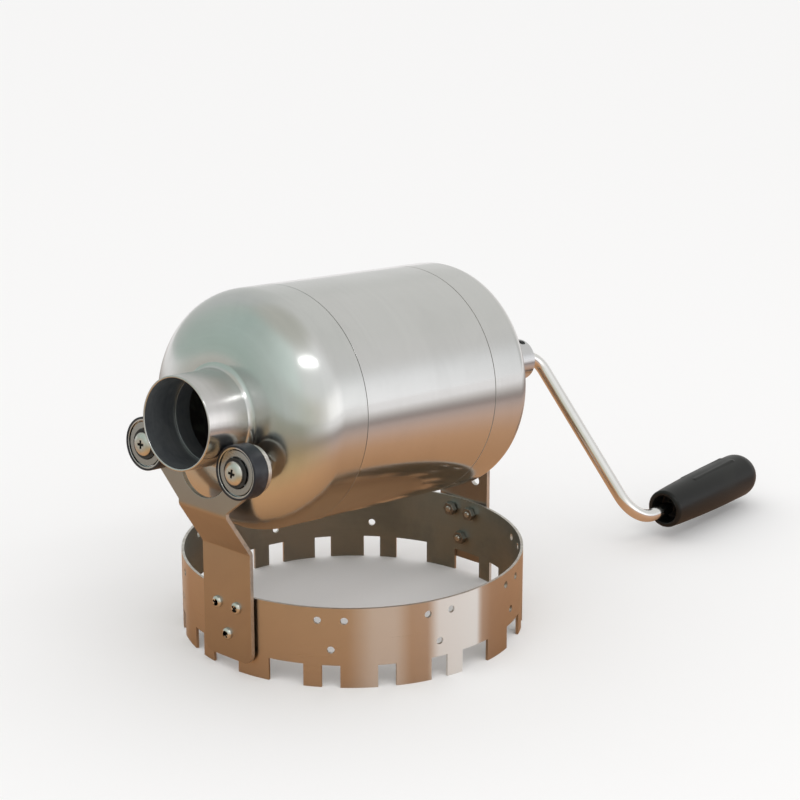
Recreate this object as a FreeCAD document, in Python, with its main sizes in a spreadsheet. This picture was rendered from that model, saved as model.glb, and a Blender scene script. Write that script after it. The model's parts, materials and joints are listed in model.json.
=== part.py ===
import FreeCAD, Part
import math
import os
import Sketcher

# Stovetop coffee bean roaster: a drum that lies across a foot ring, with its neck on two
# ball bearing rollers and its hub in a bush, turned by a bent crank.
#
# Frame, in millimetres: +Z up, the origin in the middle of the foot ring on the plane that
# the ring stands on. The drum's mouth looks along -X and the crank is at +X. The drum's axis
# crosses the ring's axis at axis_height and falls towards the crank by axis_fall degrees.

DIMENSIONS = (
    # foot ring
    ("ring_radius", 75.0, "outside radius of the foot ring"),
    ("ring_sheet", 1.2, "sheet of the foot ring"),
    ("ring_height", 35.5, "height of the foot ring"),
    ("notch_height", 10.0, "height of the notches in the ring's lower edge"),
    ("notch_step", 6.0, "degrees in one unit of the notch pattern"),
    ("notch_reach", 5.0, "reach of the notch cuts inside and outside the ring"),
    ("notch_turn", -3.0, "degrees by which the notch pattern is turned from the brackets"),
    ("hole_radius", 1.6, "radius of the screw holes in ring and brackets"),
    ("hole_side", 5.6, "sideways place of the upper two holes of a group"),
    ("hole_high", 30.0, "height of the upper two holes of a group"),
    ("hole_low", 17.0, "height of the lower hole of a group"),
    ("group_step", 36.0, "degrees from one hole group to the next"),
    # brackets
    ("plate", 2.0, "sheet of the brackets"),
    ("strip_half", 14.0, "half the width of a bracket's upright strip"),
    ("strip_low", 6.0, "height of the lower end of both strips"),
    ("corner_radius", 5.0, "rounded lower corners of both strips"),
    ("bend_radius", 2.0, "inside radius of the front bracket's bends"),
    ("gentle_bend_radius", 25.0, "inside radius of the rear bracket's bend"),
    ("front_bend", 55.5, "height of the front bracket's lower bend"),
    ("head_front", 86.5, "distance from the ring's axis to the front head's outer face"),
    ("waist_drop", 39.5, "distance below the drum's axis of the front head's waist"),
    ("arm_radius", 10.0, "rounded end of each arm, about its roller"),
    ("shoulder_side", 26.0, "sideways place of the corner under each arm"),
    ("shoulder_drop", 27.0, "distance below the drum's axis of that corner"),
    ("neck_space", 1.4, "gap round the neck inside the arms"),
    ("cradle_radius", 14.4, "radius of the round notch between the arms"),
    ("cradle_drop", 19.1, "distance below the drum's axis of that notch's centre"),
    ("rear_bend", 60.0, "height of the rear bracket's bend"),
    ("rear_head_radius", 19.0, "round head of the rear bracket"),
    ("spare_hole_radius", 2.3, "radius of the two spare holes in the rear bracket"),
    ("spare_hole_side", 7.0, "sideways place of the spare holes"),
    ("spare_hole_high", 46.0, "height of the spare holes"),
    # drum
    ("axis_height", 105.7, "height of the drum's axis over the middle of the ring"),
    ("axis_fall", 6.0, "degrees by which the drum's axis falls towards the crank"),
    ("drum_radius", 50.5, "outside radius of the drum"),
    ("wall", 0.8, "sheet of the drum"),
    ("seam_gap", 0.15, "visible line between the drum's shells"),
    ("spigot", 6.5, "length of tube that slides into each cap"),
    ("fit_gap", 0.05, "radial gap of parts that slide into each other"),
    ("front_seam", 44.5, "front seam, from the ring's axis along the drum's axis"),
    ("rear_seam", 36.5, "rear seam"),
    ("front_edge", 58.2, "where the front dome starts"),
    ("front_end", 80.0, "flat end of the front dome"),
    ("front_flat", 22.5, "radius of the front dome's flat end"),
    ("front_knuckle", 19.5, "small radius of the front dome"),
    ("rear_edge", 54.1, "where the rear dome starts"),
    ("rear_end", 66.0, "flat end of the rear dome"),
    ("rear_flat", 20.0, "radius of the rear dome's flat end"),
    ("rear_knuckle", 8.0, "small radius of the rear dome"),
    ("neck_radius", 19.5, "outside radius of the neck tube"),
    ("neck_wall", 1.0, "wall of the neck tube"),
    ("mouth", 103.7, "mouth end of the neck tube"),
    ("collar_end", 87.0, "end of the front cap's collar inside the neck tube"),
    ("flare_radius", 3.0, "rounded foot of the neck tube on the dome"),
    ("vane_start", 38.0, "front end of a stirring vane, from the ring's axis"),
    ("vane_length", 68.0, "length of a stirring vane"),
    ("vane_height", 12.0, "height of a stirring vane"),
    ("vane_foot", 8.0, "width of a stirring vane's foot"),
    # hub and crank
    ("hub_radius", 9.4, "outside radius of the hub's journal"),
    ("hub_end", 115.6, "crank end of the hub"),
    ("hub_spigot", 6.0, "radius of the hub's spigot in the rear cap"),
    ("spigot_depth", 1.0, "length of that spigot"),
    ("hub_shoulder", 13.0, "radius of the hub's shoulder on the drum"),
    ("hub_chamfer", 0.8, "chamfer of the hub's end"),
    ("bore_start", 90.0, "bottom of the hub's bore"),
    ("bush_gap", 0.3, "end play between the hub's shoulder and the bush"),
    ("bush_wall", 2.1, "wall of the rear bush"),
    ("bush_flange", 15.0, "radius of the rear bush's flange"),
    ("bush_flange_sheet", 1.5, "thickness of the rear bush's flange"),
    ("bush_length", 5.2, "length of the rear bush with its flange"),
    ("set_screw_place", 111.8, "place of the set screw along the drum's axis"),
    ("set_screw_turn", 16.0, "degrees of the set screw from straight up"),
    ("set_screw_radius", 2.0, "radius of the set screw"),
    ("set_screw_sunk", 0.6, "depth of the set screw under the hub's surface"),
    ("socket_radius", 1.15, "corner radius of the set screw's hexagon socket"),
    ("socket_depth", 2.5, "depth of that socket under the hub's surface"),
    ("rod_radius", 3.0, "radius of the crank rod"),
    ("crank_turn", 147.0, "degrees of the crank from straight up"),
    ("crank_bend", 126.9, "first corner of the crank rod along the drum's axis"),
    ("crank_reach", 88.2, "second corner's distance from the drum's axis"),
    ("crank_lean", 16.3, "degrees of the crank arm from square to the drum's axis"),
    ("hub_bend_radius", 10.0, "radius of the rod's bend at the hub"),
    ("grip_bend_radius", 18.0, "radius of the rod's bend at the grip"),
    ("grip_lean", 5.9, "degrees by which the grip points back to the drum's axis"),
    ("grip_start", 24.0, "start of the grip from the rod's second corner"),
    ("grip_edge", 0.8, "chamfer of the grip's inner end"),
    ("grip_small", 9.1, "radius of the grip at its inner end"),
    ("grip_large", 10.7, "largest radius of the grip, and of its round nose"),
    ("grip_swell", 50.0, "place of the largest radius from the grip's inner end"),
    ("grip_nose", 64.3, "centre of the round nose from the grip's inner end"),
    ("grip_recess_radius", 6.8, "radius of the recess in the grip's inner end"),
    ("grip_recess", 9.0, "depth of that recess"),
    ("grip_shelf", 50.0, "place of the shelf that the push nut runs against"),
    ("grip_cavity", 5.3, "radius of the cavity behind the shelf"),
    ("grip_play", 0.08, "radial play of the grip on the rod"),
    ("plug_length", 8.0, "depth of the plug in the grip's nose"),
    ("grip_turn", 206.0, "degrees by which the grip is turned on the rod"),
    ("pad_start", 21.5, "start of the flat thumb pad"),
    ("pad_end", 58.5, "end of the flat thumb pad"),
    ("pad_width", 9.0, "width of the thumb pad"),
    ("pad_low", 9.9, "distance of the pad from the grip's axis at its start"),
    ("pad_high", 10.7, "distance of the pad from the grip's axis at its end"),
    ("rod_tip", 57.0, "end of the crank rod inside the grip"),
    ("nut_disc", 5.0, "radius of the push nut"),
    ("nut_sheet", 0.8, "sheet of the push nut"),
    ("nut_play", 0.4, "end play between the push nut and the shelf"),
    # rollers: an 8 by 22 by 7 ball bearing each
    ("roller_spread", 59.5, "degrees of each roller from straight under the neck"),
    ("roller_front", 95.0, "outer face of the bearings"),
    ("roller_gap", 0.15, "gap between roller and neck"),
    ("bearing_bore", 4.0, "radius of the bearing's bore"),
    ("bearing_radius", 11.0, "outside radius of the bearing"),
    ("bearing_width", 7.0, "width of the bearing"),
    ("inner_race", 6.0, "outside radius of the inner race"),
    ("outer_race", 9.5, "inside radius of the outer race"),
    ("ball_circle", 7.75, "radius of the circle of balls"),
    ("ball_radius", 1.98, "radius of a ball"),
    ("groove_radius", 2.05, "radius of the ball grooves and cage pockets"),
    ("shield_hole", 6.6, "radius of the hole in a shield"),
    ("shield_face", 9.1, "radius of a shield's raised face"),
    ("shield_sheet", 0.3, "sheet of a shield"),
    ("shield_inset", 0.3, "depth of a shield's face behind the race's face"),
    ("shield_step", 0.45, "height of a shield's face over its seat"),
    ("cage_half_wall", 0.45, "half the wall of the ball cage"),
    ("cage_half_width", 2.4, "half the width of the ball cage"),
    ("sleeve_wall", 0.25, "wall of the black sleeve shrunk on the bearing"),
    ("sleeve_lip", 10.35, "inside radius of the lips that the sleeve folds over the race"),
    ("spacer_radius", 5.6, "radius of the axle bush's spacer"),
    ("washer_radius", 6.3, "radius of the black washer under the axle screw's head"),
    ("washer_sheet", 0.4, "thickness of that washer"),
    ("axle_radius", 2.5, "radius of the axle screw"),
    ("axle_head_radius", 4.9, "radius of the axle screw's head"),
    ("axle_head_height", 2.0, "height of the axle screw's head"),
    ("axle_cross", 1.8, "half the length of the axle screw's cross recess"),
    ("axle_nut_flats", 8.0, "width across the flats of the axle nut"),
    ("axle_nut_height", 2.7, "height of the axle nut"),
    ("thread_end", 1.0, "length of the axle screw's thread behind its nut"),
    # bracket screws
    ("screw_radius", 1.5, "radius of the bracket screws"),
    ("screw_length", 6.8, "length of the bracket screws under the head"),
    ("screw_head_radius", 2.55, "radius of the bracket screws' heads"),
    ("screw_head_height", 1.5, "height of the bracket screws' heads"),
    ("screw_cross", 1.5, "half the length of a bracket screw's cross recess"),
    ("head_crown", 0.62, "radius of a screw head's flat crown over the head's radius"),
    ("head_round", 0.75, "radius of a screw head's rounding over the head's radius"),
    ("head_rim", 0.4, "height of a screw head's straight rim over the head's height"),
    ("cross_half", 0.3, "half width of a cross recess over half its length"),
    ("cross_depth", 0.65, "depth of a cross recess over the head's height"),
    ("nut_flats", 5.5, "width across the flats of the bracket nuts"),
    ("nut_height", 2.4, "height of the bracket nuts"),
)

BALLS = 7
VANES = 3
TOUCH = 0.03          # gap between faces that lie on each other
CUTTER = 20           # length of the round tools that cut holes through a sheet
NEAR = 0.01           # how near to its place an edge is looked for
THREAD_CHAMFER = 0.4  # chamfer of a screw's end
BUSH_FRONT = -0.1     # front end of an axle bush, from the bearing's face
SIDES = (("left", 1), ("right", -1))       # the sides as seen with the crank behind

document = FreeCAD.newDocument("coffee_roaster")
sheet = document.addObject("Spreadsheet::Sheet", "dims")
for row, (alias, value, meaning) in enumerate(DIMENSIONS, start=1):
    sheet.set(f"A{row}", meaning)
    sheet.set(f"B{row}", str(value))
    sheet.setAlias(f"B{row}", alias)
document.recompute()

pieces = []           # the objects that are written out, one file each


def number(expression):
    """The value of an expression over the spreadsheet."""
    value = sheet.evalExpression(str(expression))
    return float(getattr(value, "Value", value))


def new_body(label):
    body = document.addObject("PartDesign::Body", label)
    body.Label = label
    return body


def origin_feature(body, role):
    return next(feature for feature in body.Origin.OriginFeatures if feature.Role == role)


def new_sketch(body, role, name, shift=None):
    """A sketch on one of the body's origin planes, moved along the plane's normal."""
    sketch = body.newObject("Sketcher::SketchObject", name)
    sketch.AttachmentSupport = (origin_feature(body, role), [""])
    sketch.MapMode = "FlatFace"
    if shift is not None:
        sketch.setExpression("AttachmentOffset.Base.z", str(shift))
    return sketch


def bind(sketch, kind, value, expression, *where):
    index = sketch.addConstraint(Sketcher.Constraint(kind, *where, value))
    sketch.setExpression(f"Constraints[{index}]", str(expression))


def draw_path(sketch, corners, closed=True):
    """Lines and arcs through corners, with every size bound to the spreadsheet.

    A corner is (across, up), or (across, up, turn, radius) where an arc leads to the next
    corner: turn is "ccw" or "cw".
    """
    points = [FreeCAD.Vector(number(corner[0]), number(corner[1]), 0) for corner in corners]
    count = len(points) if closed else len(points) - 1
    ends = []
    for index in range(count):
        start = points[index]
        stop = points[(index + 1) % len(points)]
        corner = corners[index]
        if len(corner) == 2:
            edge = sketch.addGeometry(Part.LineSegment(start, stop), False)
            ends.append((edge, 1, 2))
            continue
        turn, radius = corner[2], number(corner[3])
        chord = stop - start
        left = FreeCAD.Vector(-chord.y, chord.x, 0).normalize()
        rise = math.sqrt(max(radius ** 2 - (chord.Length / 2) ** 2, 0))
        centre = start + chord * 0.5 + left * (rise if turn == "ccw" else -rise)
        circle = Part.Circle(centre, FreeCAD.Vector(0, 0, 1), radius)
        angles = [math.atan2(point.y - centre.y, point.x - centre.x) for point in (start, stop)]
        if turn == "cw":
            angles.reverse()
        edge = sketch.addGeometry(Part.ArcOfCircle(circle, *angles), False)
        ends.append((edge, 1, 2) if turn == "ccw" else (edge, 2, 1))
        bind(sketch, "Radius", radius, corner[3], edge)
    for index in range(count if closed else count - 1):
        edge, _, last = ends[index]
        following, first, _ = ends[(index + 1) % count]
        sketch.addConstraint(Sketcher.Constraint("Coincident", edge, last, following, first))
    places = [(edge, first) for edge, first, _ in ends]
    if not closed:
        places.append((ends[-1][0], ends[-1][2]))
    for point, corner, (edge, end) in zip(points, corners, places):
        bind(sketch, "DistanceX", point.x, corner[0], -1, 1, edge, end)
        bind(sketch, "DistanceY", point.y, corner[1], -1, 1, edge, end)


def draw_circle(sketch, across, up, radius):
    centre = FreeCAD.Vector(number(across), number(up), 0)
    circle = Part.Circle(centre, FreeCAD.Vector(0, 0, 1), number(radius))
    edge = sketch.addGeometry(circle, False)
    bind(sketch, "Radius", number(radius), radius, edge)
    bind(sketch, "DistanceX", centre.x, across, -1, 1, edge, 3)
    bind(sketch, "DistanceY", centre.y, up, -1, 1, edge, 3)


def turned(label, corners):
    """A body turned about its X axis from corners (along, radius)."""
    body = new_body(label)
    sketch = new_sketch(body, "XZ_Plane", f"{label}_section")
    draw_path(sketch, corners)
    revolution = body.newObject("PartDesign::Revolution", f"{label}_turned")
    revolution.Profile = sketch
    revolution.ReferenceAxis = (sketch, ["H_Axis"])
    revolution.Angle = 360
    return body


def pad(body, sketch, length, both_sides=False):
    feature = body.newObject("PartDesign::Pad", f"{sketch.Name}_pad")
    feature.Profile = sketch
    feature.setExpression("Length", str(length))
    if both_sides:
        feature.SideType = "Symmetric"
    return feature


def pocket(body, sketch, depth, both_sides=True):
    """A cut that has to take material away."""
    document.recompute()
    before = body.Shape.Volume
    feature = body.newObject("PartDesign::Pocket", f"{sketch.Name}_pocket")
    feature.Profile = sketch
    feature.setExpression("Length", str(depth))
    if both_sides:
        feature.SideType = "Symmetric"
    document.recompute()
    assert body.Shape.Volume < before, f"{feature.Name} cuts nothing"
    return feature


def polar(body, feature, axis, count, angle):
    pattern = body.newObject("PartDesign::PolarPattern", f"{feature.Name}_pattern")
    pattern.Originals = [feature]
    pattern.Axis = (origin_feature(body, axis), [""])
    pattern.Occurrences = count
    pattern.setExpression("Angle", str(angle))
    body.Tip = pattern
    return pattern


def round_edges(body, base, radius, chosen):
    """Fillet the edges of a feature that pass the test chosen(edge)."""
    document.recompute()
    names = [f"Edge{index}" for index, edge in enumerate(base.Shape.Edges, start=1) if chosen(edge)]
    fillet = body.newObject("PartDesign::Fillet", f"{base.Name}_fillet")
    fillet.Base = (base, names)
    fillet.setExpression("Radius", str(radius))
    document.recompute()
    return fillet


def cylinder(name, radius, height):
    """A round tool along Z from Z = 0; TO_X turns it along X."""
    tool = document.addObject("Part::Cylinder", name)
    tool.setExpression("Radius", str(radius))
    tool.setExpression("Height", str(height))
    return tool


def joined(name, shapes):
    fuse = document.addObject("Part::MultiFuse", name)
    fuse.Shapes = shapes
    fuse.Refine = True
    return fuse


def cut(name, base, tool):
    result = document.addObject("Part::Cut", name)
    result.Base = base
    result.Tool = tool
    result.Label = name
    return result


def group(name, members):
    compound = document.addObject("Part::Compound", name)
    compound.Links = members
    compound.Label = name
    return compound


DRUM_PLACE = "placement(vector(0; 0; dims.axis_height); rotation(vector(0; 1; 0); dims.axis_fall))"
TO_X = "placement(vector(0; 0; 0); rotation(vector(0; 1; 0); 90))"


def shifted(along=0, side=0, up=0):
    return f"placement(vector({along}; {side}; {up}); rotation(vector(1; 0; 0); 0))"


def spun(angle, axis="1; 0; 0"):
    return f"placement(vector(0; 0; 0); rotation(vector({axis}); {angle}))"


def seat(piece, *places):
    """Bind a piece's placement to a product of places."""
    piece.setExpression("Placement", " * ".join(places))


def keep(*made):
    pieces.extend(made)


# ---------------------------------------------------------------- foot ring
# A rolled strip with a castellated lower edge, so that flame and air pass under it, and ten
# groups of three holes; two of the groups carry the brackets.

NOTCHES = ((0, 1), (4, 1), (6.5, 0.5), (9.5, 0.5), (12.5, 0.5))   # centre, half width, in steps


def foot_ring():
    body = new_body("foot_ring")
    section = new_sketch(body, "XY_Plane", "ring_section")
    draw_circle(section, 0, 0, "dims.ring_radius")
    draw_circle(section, 0, 0, "dims.ring_radius - dims.ring_sheet")
    pad(body, section, "dims.ring_height")

    notches = new_sketch(body, "XY_Plane", "ring_notches")
    for centre, half in NOTCHES:
        corners = []
        for edge, reach in ((-half, "-"), (-half, "+"), (half, "+"), (half, "-")):
            angle = f"({centre + edge} * dims.notch_step + dims.notch_turn)"
            radius = f"(dims.ring_radius {reach} dims.notch_reach)"
            corners.append((f"{radius} * cos{angle}", f"{radius} * sin{angle}"))
        draw_path(notches, corners)
    first = pocket(body, notches, "2 * dims.notch_height")
    polar(body, first, "Z_Axis", 4, 360)

    def hole_groups(name, turn, count):
        sketch = new_sketch(body, "YZ_Plane", name)
        sketch.setExpression("AttachmentOffset.Rotation.Angle", turn)
        sketch.AttachmentOffset.Rotation.Axis = FreeCAD.Vector(0, 1, 0)
        for side, level in (("dims.hole_side", "dims.hole_high"),
                            ("-dims.hole_side", "dims.hole_high"),
                            ("0", "dims.hole_low")):
            draw_circle(sketch, side, level, "dims.hole_radius")
        holes = pocket(body, sketch, "3 * dims.ring_radius")
        polar(body, holes, "Z_Axis", count, f"{count - 1} * dims.group_step")

    hole_groups("ring_holes", "0", 5)
    return body


# ---------------------------------------------------------------- brackets
# Bent strips screwed to the outside of the ring. Each head is square to the drum's axis.

def bent_strip(name, outer_face, side, bend):
    """A strip of sheet, bent where outer_face turns: it lists the outer face from the bottom
    up as (x, z). side is -1 at the front and 1 at the rear, and the rest of the sheet lies
    nearer the ring's axis. bend is the inside radius of the bends."""
    angles = []
    for (x_low, z_low), (x_high, z_high) in zip(outer_face, outer_face[1:]):
        angles.append(f"atan2({x_high} - ({x_low}); {z_high} - ({z_low}))")
    inner_face = []
    for index, (x, z) in enumerate(outer_face):
        before = angles[max(index - 1, 0)]
        after = angles[min(index, len(angles) - 1)]
        middle = f"(({before} + {after}) / 2)"
        reach = f"dims.plate / cos(({after} - {before}) / 2)"
        inner_face.append((f"{x} - ({side}) * {reach} * cos{middle}",
                           f"{z} + ({side}) * {reach} * sin{middle}"))
    body = new_body(name)
    sketch = new_sketch(body, "XZ_Plane", f"{name}_section")
    draw_path(sketch, list(outer_face) + inner_face[::-1])
    strip = pad(body, sketch, "2 * dims.strip_half", both_sides=True)
    low = number("dims.strip_low")

    def lower_corner(edge):
        box = edge.BoundBox
        return box.ZMax < low + NEAR and box.YLength < NEAR

    strip = round_edges(body, strip, "dims.corner_radius", lower_corner)
    tight, wide = [], []
    for index in range(1, len(outer_face) - 1):
        outwards = (number(angles[index]) - number(angles[index - 1])) * side > 0
        (tight if outwards else wide).append(outer_face[index])
        (wide if outwards else tight).append(inner_face[index])
    for corners, radius in ((tight, bend), (wide, f"{bend} + dims.plate")):
        places = [(number(x), number(z)) for x, z in corners]

        def bend_edge(edge):
            box = edge.BoundBox
            across_strip = box.YLength > number("dims.strip_half")
            return across_strip and any(math.hypot(box.XMin - x, box.ZMin - z) < NEAR
                                        for x, z in places)

        strip = round_edges(body, strip, radius, bend_edge)
    return body


def bracket_holes(name, side):
    tools = []
    for index, (across, level) in enumerate((("dims.hole_side", "dims.hole_high"),
                                             ("-dims.hole_side", "dims.hole_high"),
                                             ("0", "dims.hole_low"))):
        tool = cylinder(f"{name}_hole_{index}", "dims.hole_radius", CUTTER)
        seat(tool, shifted(f"({side}) * dims.ring_radius - {CUTTER} / 2", across, level), TO_X)
        tools.append(tool)
    return tools


NECK_TO_ROLLER = ("(dims.neck_radius + dims.roller_gap + dims.bearing_radius"
                  " + dims.sleeve_wall)")
ROLLER_SIDE = f"({NECK_TO_ROLLER} * sin(dims.roller_spread))"
ROLLER_DROP = f"({NECK_TO_ROLLER} * cos(dims.roller_spread))"
FALL_COS = "cos(dims.axis_fall)"
FALL_SIN = "sin(dims.axis_fall)"


def front_bracket():
    waist_x = f"(-dims.head_front * {FALL_COS} - dims.waist_drop * {FALL_SIN})"
    waist_z = (f"(dims.axis_height + dims.head_front * {FALL_SIN}"
               f" - dims.waist_drop * {FALL_COS})")
    top_rise = "(2 * dims.bend_radius)"
    strip = bent_strip("front_strip", (
        ("(-dims.ring_radius - dims.plate)", "dims.strip_low"),
        ("(-dims.ring_radius - dims.plate)", "dims.front_bend"),
        (waist_x, waist_z),
        (f"({waist_x} + {top_rise} * {FALL_SIN})", f"({waist_z} + {top_rise} * {FALL_COS})"),
    ), -1, "dims.bend_radius")

    blank = new_body("front_blank")
    outline = new_sketch(blank, "YZ_Plane", "front_outline")
    arm_corner_side = f"{ROLLER_SIDE} + dims.arm_radius * sin(30)"
    arm_corner_drop = f"{ROLLER_DROP} + dims.arm_radius * cos(30)"
    half = (("dims.strip_half", "-dims.waist_drop + dims.bend_radius"),
            ("dims.shoulder_side", "-dims.shoulder_drop"),
            (arm_corner_side, f"-({arm_corner_drop})"),
            (ROLLER_SIDE, f"-{ROLLER_DROP}"))
    mirrored = [(f"-({across})", up) for across, up in reversed(half)]
    draw_path(outline, list(half) + mirrored)
    pad(blank, outline, "dims.plate")
    seat(blank, DRUM_PLACE, shifted("-dims.head_front"))

    solids = [strip, blank]
    holes = bracket_holes("front_bracket", -1)
    for name, side in SIDES:
        place = shifted("-dims.head_front", f"{side} * {ROLLER_SIDE}", f"-{ROLLER_DROP}")
        arm = cylinder(f"{name}_arm_end", "dims.arm_radius", "dims.plate")
        seat(arm, DRUM_PLACE, place, TO_X)
        solids.append(arm)
        hole = cylinder(f"{name}_axle_hole", "dims.axle_radius + 2 * dims.fit_gap", CUTTER)
        seat(hole, DRUM_PLACE, place, shifted(-CUTTER / 2), TO_X)
        holes.append(hole)
    before_head = f"-dims.head_front - {CUTTER} / 2"
    neck = cylinder("neck_clearance", "dims.neck_radius + dims.neck_space", CUTTER)
    seat(neck, DRUM_PLACE, shifted(before_head), TO_X)
    cradle = cylinder("cradle_notch", "dims.cradle_radius", CUTTER)
    seat(cradle, DRUM_PLACE, shifted(before_head, 0, "-dims.cradle_drop"), TO_X)
    tools = joined("front_bracket_cuts", holes + [neck, cradle])
    return cut("front_bracket", joined("front_bracket_sheet", solids), tools)


# Distance along the drum's axis to the inner face of the rear head.
REAR_HEAD = (f"(dims.ring_radius * {FALL_COS}"
             f" + (dims.axis_height - dims.rear_bend) * {FALL_SIN})")


def rear_bracket():
    outer_x = "(dims.ring_radius + dims.plate)"
    rise = f"((dims.axis_height - dims.rear_bend - dims.ring_radius * {FALL_SIN}) / {FALL_COS})"
    strip = bent_strip("rear_strip", (
        (outer_x, "dims.strip_low"),
        (outer_x, "dims.rear_bend"),
        (f"({outer_x} + {rise} * {FALL_SIN})", f"(dims.rear_bend + {rise} * {FALL_COS})"),
    ), 1, "dims.gentle_bend_radius")
    head = cylinder("rear_head", "dims.rear_head_radius", "dims.plate")
    seat(head, DRUM_PLACE, shifted(REAR_HEAD), TO_X)
    tools = bracket_holes("rear_bracket", 1)
    bush_hole = cylinder("bush_hole", "dims.hub_radius + dims.fit_gap + dims.bush_wall", CUTTER)
    seat(bush_hole, DRUM_PLACE, shifted(f"{REAR_HEAD} - {CUTTER} / 2"), TO_X)
    tools.append(bush_hole)
    for name, side in SIDES:
        spare = cylinder(f"{name}_spare_hole", "dims.spare_hole_radius", CUTTER)
        seat(spare, shifted(f"dims.ring_radius - {CUTTER} / 2",
                            f"{side} * dims.spare_hole_side", "dims.spare_hole_high"), TO_X)
        tools.append(spare)
    return cut("rear_bracket", joined("rear_bracket_sheet", [strip, head]),
               joined("rear_bracket_cuts", tools))


# ---------------------------------------------------------------- screws and nuts

def pan_screw(label, radius, length, head_radius, head_height, recess):
    """A cross recessed pan head screw along X: the head's seat is at X = 0."""
    rim = f"({head_height} * dims.head_rim)"
    body = turned(label, (
        (f"-{head_height}", "0"),
        (f"-{head_height}", f"{head_radius} * dims.head_crown", "cw",
         f"{head_radius} * dims.head_round"),
        (f"-{rim}", head_radius),
        ("0", head_radius),
        ("0", radius),
        (f"{length} - {THREAD_CHAMFER}", radius),
        (length, f"{radius} - {THREAD_CHAMFER}"),
        (length, "0"),
    ))
    cross = new_sketch(body, "YZ_Plane", f"{label}_cross", f"-{head_height}")
    arm, half = f"({recess})", f"({recess} * dims.cross_half)"
    draw_path(cross, (
        (arm, f"-{half}"), (arm, half), (half, half), (half, arm),
        (f"-{half}", arm), (f"-{half}", half), (f"-{arm}", half), (f"-{arm}", f"-{half}"),
        (f"-{half}", f"-{half}"), (f"-{half}", f"-{arm}"), (half, f"-{arm}"),
        (half, f"-{half}"),
    ))
    pocket(body, cross, f"2 * {head_height} * dims.cross_depth")
    return body


def hex_nut(label, radius, flats, height):
    """A hexagon nut along X, from X = 0 to its height, with a flat at the top and bottom."""
    body = new_body(label)
    section = new_sketch(body, "YZ_Plane", f"{label}_section")
    corner = f"({flats} / 2 / cos(30))"
    draw_path(section, [(f"{corner} * cos({turn})", f"{corner} * sin({turn})")
                        for turn in range(0, 360, 60)])
    pad(body, section, height)
    hole = new_sketch(body, "YZ_Plane", f"{label}_thread")
    draw_circle(hole, 0, 0, f"{radius} + dims.fit_gap")
    pocket(body, hole, f"3 * {height}")
    return body


def bracket_fasteners(end, side):
    """The three screws of a bracket and their nuts inside the ring, as two groups."""
    screws, nuts = [], []
    face_to_ring = spun("0" if side < 0 else "180", "0; 0; 1")
    for index, (across, level) in enumerate((("dims.hole_side", "dims.hole_high"),
                                             ("-dims.hole_side", "dims.hole_high"),
                                             ("0", "dims.hole_low")), start=1):
        screw = pan_screw(f"{end}_screw_{index}", "(dims.screw_radius - dims.fit_gap)",
                          "dims.screw_length", "dims.screw_head_radius",
                          "dims.screw_head_height", "dims.screw_cross")
        seat(screw, face_to_ring,
             shifted(f"-dims.ring_radius - dims.plate - {TOUCH}", across, level),
             spun(20 * index))
        nut = hex_nut(f"{end}_nut_{index}", "dims.screw_radius", "dims.nut_flats",
                      "dims.nut_height")
        edge = f"(abs({across}) + dims.nut_flats / 2 / cos(30))"
        inner = "(dims.ring_radius - dims.ring_sheet)"
        seat(nut, face_to_ring,
             shifted(f"-sqrt({inner} ^ 2 - {edge} ^ 2) + {TOUCH}", across, level))
        screws.append(screw)
        nuts.append(nut)
    return group(f"{end}_bracket_screws", screws), group(f"{end}_bracket_nuts", nuts)


# ---------------------------------------------------------------- rollers
# Each is a shielded ball bearing on a bush, held to the arm by a screw and a thin nut. The
# outer race wears a thin black sleeve, and the neck rolls on it.

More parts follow.
